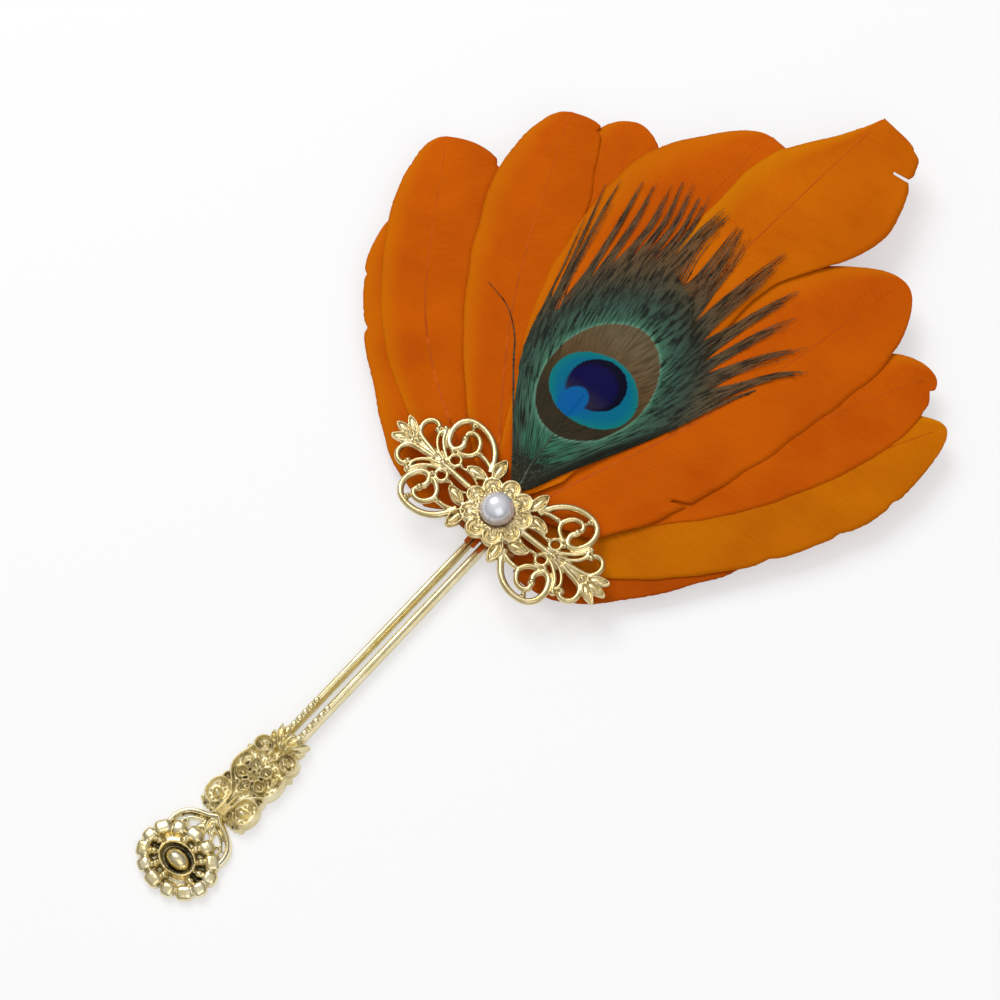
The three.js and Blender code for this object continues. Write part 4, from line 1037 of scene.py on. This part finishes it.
tooth_pitch = 0.9 * mm           # along a barb, for two rows of its ribbon
barb_pitch = 0.46 * mm           # between barbs where a strand begins
most_barbs = 24
barb_core = 0.12 * mm            # half the width of a barb's solid middle
barb_fringe = 0.32 * mm          # how far its barbules stand out
for k, strand in enumerate(strands):
    free, width = strand["free"], strand["width"]
    foot = [barb_point(min(max(k + aside, 0), last_strand), free) for aside in (-0.5, 0.5)]
    barbs = min(max(round((foot[1] - foot[0]).length / barb_pitch), 6), most_barbs)
    for barb in range(barbs):
        spread = barb / (barbs - 1) - 0.5
        restless = noise.noise(Vector((k * 3.7, barb * 1.9, 0)))
        start = max(0.02, free - 0.1 - 0.3 * abs(noise.noise(Vector((k * 2.3, barb * 5.1, 4)))))
        end = 1 - 0.16 * abs(restless) - 0.03 * (barb % 3)
        length = (end - start) * (strand["line"][-1] - strand["line"][0]).length
        rows = max(8, 2 * round(length / tooth_pitch))
        points = []
        for row in range(rows + 1):
            share = start + (end - start) * row / rows
            gather = max(0, (share - free) / (1 - free))
            opened = min(1, gather / 0.3)
            closer = 1 + (width - 1) * opened * opened * (3 - 2 * opened)
            closer *= 1 - strand["gather"] * gather
            beside = spread * closer * (1 + 0.6 * restless * gather)
            beside += (0.5 if barb % 5 == 2 else 0.16) * restless * gather ** 1.5
            strand_at = min(max(k + beside, -0.15), last_strand + 0.15)
            point = barb_point(strand_at, share)
            lift = 0.12 + 0.4 * (0.5 + restless) * gather + 0.5 * gather
            point.z = height_below(point) + lift * mm
            points.append(point)
        ease(points, 4)
        add_barb(shape, points, barb_core, barb_fringe, k + spread, start, end)

# One barb has come loose and lies over the goose feathers on the left
stray_steps = 150
stray_lift = 0.3 * mm
stray = smooth_line([Vector((x * mm, y * mm, 0)) for x, y in (
    (-2, 9), (-12, 21), (-22, 32.5), (-30, 42), (-34, 47), (-42, 53), (-52.3, 55.8))],
    stray_steps)[0]
for point in stray:
    point.z = height_below(point) + stray_lift
ease(stray, 6)
add_barb(shape, stray, 0.16 * mm, 0.3 * mm, -1, 0, 1)
add_piece("peacock_barbs", shape, [peacock_vane, peacock_shaft], "peacock", "peacock_feather")

# Filigree plate
# A plate stamped and pierced in one piece, with a flower of looped petals in the middle and a
# wing of scrolls on each side. It is gold plated and glued over the quills. One wing is bent a
# little to the side.
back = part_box("filigree_plate")[0].z
plate_voxel = 0.205 * mm         # a little coarser, for under 200,000 triangles
wire, wire_height = 2.1, 1.15
wing_bend = 0.065
wing_stretch = 1.02
shape = bmesh.new()
for across in (-1, 1):
    for up in (-1, 1):
        strokes = [
            (((9.4, 7.2), (10.6, 10.4), (13.2, 13.6), (16.7, 15.6), (20.7, 16.2), (24, 15.4),
              (25.8, 13.5), (26.4, 10.7), (25.8, 8.1), (24.4, 6), (22.4, 5.3), (21.1, 6.4),
              (20.7, 8.2), (21.6, 9.8)), wire),
            (((20.6, 5.3), (18.6, 6.1), (17, 7.4), (16.3, 9.4), (17.1, 11.5), (18.7, 12.9),
              (20.8, 13.1), (22.1, 12), (21.7, 10.1)), wire * 0.85),
            (((10.2, 8.4), (12.3, 9.2), (14.3, 9.4), (16.3, 9.2)), wire * 0.75),
            (((20.7, 1.4), (23.2, 2.8), (26, 5.2), (27.6, 8.2)), wire * 0.7),
            (((21.6, 0.7), (24.6, 1.7), (26.8, 3.3), (28.2, 5.6), (28, 7.6)), wire * 0.6),
            (((24.6, 0.5), (27.5, 1), (30, 1.4), (32.3, 2.1), (33.7, 4), (33.7, 6.4),
              (32.2, 8), (30.2, 8), (29.3, 6.5)), wire * 0.85),
            (((17.2, 2.2), (18.2, 4.5), (20.2, 4.5), (21, 3), (20.1, 1.5), (18.2, 1.6),
              (17.4, 3.2)), wire * 0.62),
            (((9.2, 1.9), (13, 3), (17.4, 2.6)), wire * 0.45)]
        for points, width in strokes:
            add_wire(shape, [(across * x, up * y) for x, y in points], width, wire_height, back)
        for x, y, radius in ((21.6, 10, 1.15), (22.2, 14.4, 0.9), (29.5, 6.5, 1.05),
                             (28, 8.5, 1), (21.6, 4.4, 0.9), (16.9, 3, 0.75), (15, 9.6, 0.7)):
            add_bead(shape, across * x, up * y, radius, radius, wire_height * 1.3, back)
        for root, tip, half_width, rise in (((7.2, 6.2), (8.1, 13.2), 1.75, 1.3),
                                            ((8.7, 5.3), (15.2, 3.9), 1.5, 1.25),
                                            ((32.6, 0.9), (38.4, 3.9), 1.15, 1.2)):
            add_cup(shape, (across * root[0], up * root[1]), (across * tip[0], up * tip[1]),
                    half_width, wire_height * rise, back)
    add_wire(shape, [(across * 8, 0), (across * 14, 0), (across * 20.4, 0)], wire * 0.95,
             wire_height, back)
    add_wire(shape, [(across * 20, 0), (across * 26, 0), (across * 33.4, 0)], wire * 0.7,
             wire_height * 0.7, back)
    add_cup(shape, (across * 33, 0), (across * 39.7, 0), 1.2, wire_height * 1.3, back)
    add_bead(shape, across * 21.4, 0, 1.3, 1.1, wire_height * 1.35, back)
    add_bead(shape, across * 31.6, 0, 1.1, 1, wire_height * 1.3, back)
bent = Matrix.Identity(4)
bent[0][0] = wing_stretch
bent[1][0] = -wing_bend
bmesh.ops.transform(shape, matrix=bent, verts=[v for v in shape.verts if v.co.x < 0])
flower_radius, flower_thickness = 9.6 * mm, 1.4 * mm
bmesh.ops.create_cone(shape, cap_ends=True, segments=48, radius1=flower_radius,
                      radius2=flower_radius, depth=flower_thickness,
                      matrix=Matrix.Translation((0, 0, back)))
flower_loops = 9
for k in range(flower_loops):
    turn = 2 * math.pi * (k + 0.5) / flower_loops
    middle = Vector((math.cos(turn), math.sin(turn))) * 7.9
    for radius, reach, width, height in ((2.55, 2.1, 1.3, 1.5), (1.2, 1.9, 0.8, 1.25)):
        arc = [middle + Vector((math.cos(turn + a), math.sin(turn + a))) * radius
               for a in (reach * (i / 4 - 1) for i in range(9))]
        add_wire(shape, [tuple(p) for p in arc], width, height, back)
    out = Vector((math.cos(turn), math.sin(turn)))
    add_leaf(shape, out * 4.4, out * 8, 1.5, 1.45, back)
    between = turn + math.pi / flower_loops
    out = Vector((math.cos(between), math.sin(between)))
    add_leaf(shape, out * 4.4, out * 7, 0.9, 1.55, back)
casting = cast_in_one(shape, plate_voxel, back)
filigree_gold = gold_plate("Gold_plate_on_stamped_brass", "#E9D8A8", "#CDB780", "#4A3C1C", 0.28,
                           shade_reach=(0.12, 0.72), stipple=0.3)
add_piece("filigree_plate_stamped", casting, [filigree_gold], "filigree_gold", "filigree_plate")

# Pearl
# A cultured button pearl, 10 mm across, with a flat back that is glued to the plate's flower. Its
# nacre is cool white, and towards its foot a faint pink that is darkened as painted shade.
low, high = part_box("pearl")
pearl_radius = 5 * mm
shape = bmesh.new()
bmesh.ops.create_icosphere(shape, subdivisions=5, radius=pearl_radius,
                           matrix=Matrix.Translation((0, 0, high.z - pearl_radius)))
bmesh.ops.bisect_plane(shape, geom=shape.verts[:] + shape.edges[:] + shape.faces[:],
                       dist=1e-6, plane_co=(0, 0, low.z), plane_no=(0, 0, 1), clear_inner=True)
bmesh.ops.holes_fill(shape, edges=[e for e in shape.edges if e.is_boundary])

# Nacre is many thin layers: they mirror the light softly, as metal does, under a clear gloss
nacre, shader = new_material("Pearl_nacre", {
    "Metallic": 0.45, "Roughness": 0.24, "Specular IOR Level": 0.6, "Coat Weight": 0.5,
    "Coat Roughness": 0.06})
place = add_node(nacre, "TexCoord").outputs["Object"]
depth = add_node(nacre, "SeparateXYZ", {"Vector": place})
# Painted shade: the nacre turns a darker pinkish grey towards its foot
painted_foot_shade = add_node(nacre, "MapRange", {"Value": depth.outputs["Z"],
                                                "From Min": high.z - 1.2 * mm,
                                                "From Max": high.z - 6.5 * mm})
clouds = add_node(nacre, "TexNoise", {"Vector": place, "Scale": 1 / (5 * mm), "Detail": 2.0})
body = add_node(nacre, "ValToRGB", {"Fac": clouds}, [(0.35, "#DDE2EC"), (0.65, "#ECECF0")])
nacre_with_painted_shade = add_node(nacre, "Mix",
                      {"Factor": painted_foot_shade, "A": body,
                       "B": srgb("#B9A2B0")}, data_type="RGBA")
fill_inputs(shader, {"Base Color": nacre_with_painted_shade})
add_piece("pearl_button", shape, [nacre], "pearl", "pearl")

# Setting
# A plain pale floor under a broad soft light, with the camera above and to one side.
floor_size = 6                   # metres
shape = bmesh.new()
bmesh.ops.create_grid(shape, x_segments=1, y_segments=1, size=floor_size / 2)
floor_mesh = bpy.data.meshes.new("floor")
shape.to_mesh(floor_mesh)
shape.free()
floor = bpy.data.objects.new("floor", floor_mesh)
bpy.context.scene.collection.objects.link(floor)
floor_paint, shader = new_material("Matt_white_board", {"Base Color": srgb("#FAFAFA"),
                                                       "Roughness": 0.9,
                                                       "Specular IOR Level": 0.1})
# The camera and the metal see half of the floor's white steady, and half takes the shadows
rays = add_node(floor_paint, "LightPath").outputs
seen = add_node(floor_paint, "Math",
                {0: rays["Is Camera Ray"], 1: rays["Is Glossy Ray"]}, operation="MAXIMUM")
seen = add_node(floor_paint, "Math", {0: seen, 1: rays["Is Transmission Ray"]},
                operation="MAXIMUM")
steady_half = add_node(floor_paint, "Math", {0: seen, 1: 0.5}, operation="MULTIPLY")
steady_white = add_node(floor_paint, "Emission", {"Color": srgb("#FFFFFF")})
board = add_node(floor_paint, "MixShader", {0: steady_half, 1: shader, 2: steady_white})
fill_inputs(floor_paint.node_tree.nodes["Material Output"], {"Surface": board})
floor_mesh.materials.append(floor_paint)


def set_up(name, data, place, looking):
    """Adds a camera or a lamp that looks along a direction"""
    thing = bpy.data.objects.new(name, data)
    thing.location = place
    thing.rotation_mode = "QUATERNION"
    thing.rotation_quaternion = looking.to_track_quat("-Z", "Y")
    bpy.context.scene.collection.objects.link(thing)
    return thing


view_azimuth = math.radians(41)
view_elevation = math.radians(65.4)
view_distance = 600 * mm
view_target = Vector((-0.9, 2.3, 13.3)) * mm
towards_camera = Vector((math.sin(view_azimuth) * math.cos(view_elevation),
                         -math.cos(view_azimuth) * math.cos(view_elevation),
                         math.sin(view_elevation)))
camera_data = bpy.data.cameras.new("camera")
camera_data.lens = 76            # in millimetres, as is the sensor's width
camera_data.sensor_width = 36
bpy.context.scene.camera = set_up("camera", camera_data, view_target
                                  + towards_camera * view_distance, -towards_camera)

# Each lamp's place and size in metres, and its power in watts
lamps = {"key": ((-0.9, 0.35, 1.2), 0.9, 12), "fill": ((0.9, -0.5, 1.0), 1.2, 4)}
for name, (at, size, power) in lamps.items():
    lamp_data = bpy.data.lights.new(name, "AREA")
    lamp_data.size = size
    lamp_data.energy = power
    set_up(name, lamp_data, at, -Vector(at))
world = bpy.data.worlds.new("studio")
world.use_nodes = True
sky_place = add_node(world, "TexCoord")
sky_height = add_node(world, "SeparateXYZ", {"Vector": sky_place.outputs["Generated"]})
sky_strength = add_node(world, "MapRange",
                        {"Value": sky_height.outputs["Z"], "To Min": 0.12, "To Max": 0.7})
fill_inputs(world.node_tree.nodes["Background"],
            {"Color": srgb("#FFFFFF"), "Strength": sky_strength})
bpy.context.scene.world = world
bpy.context.scene.view_settings.view_transform = "Standard"
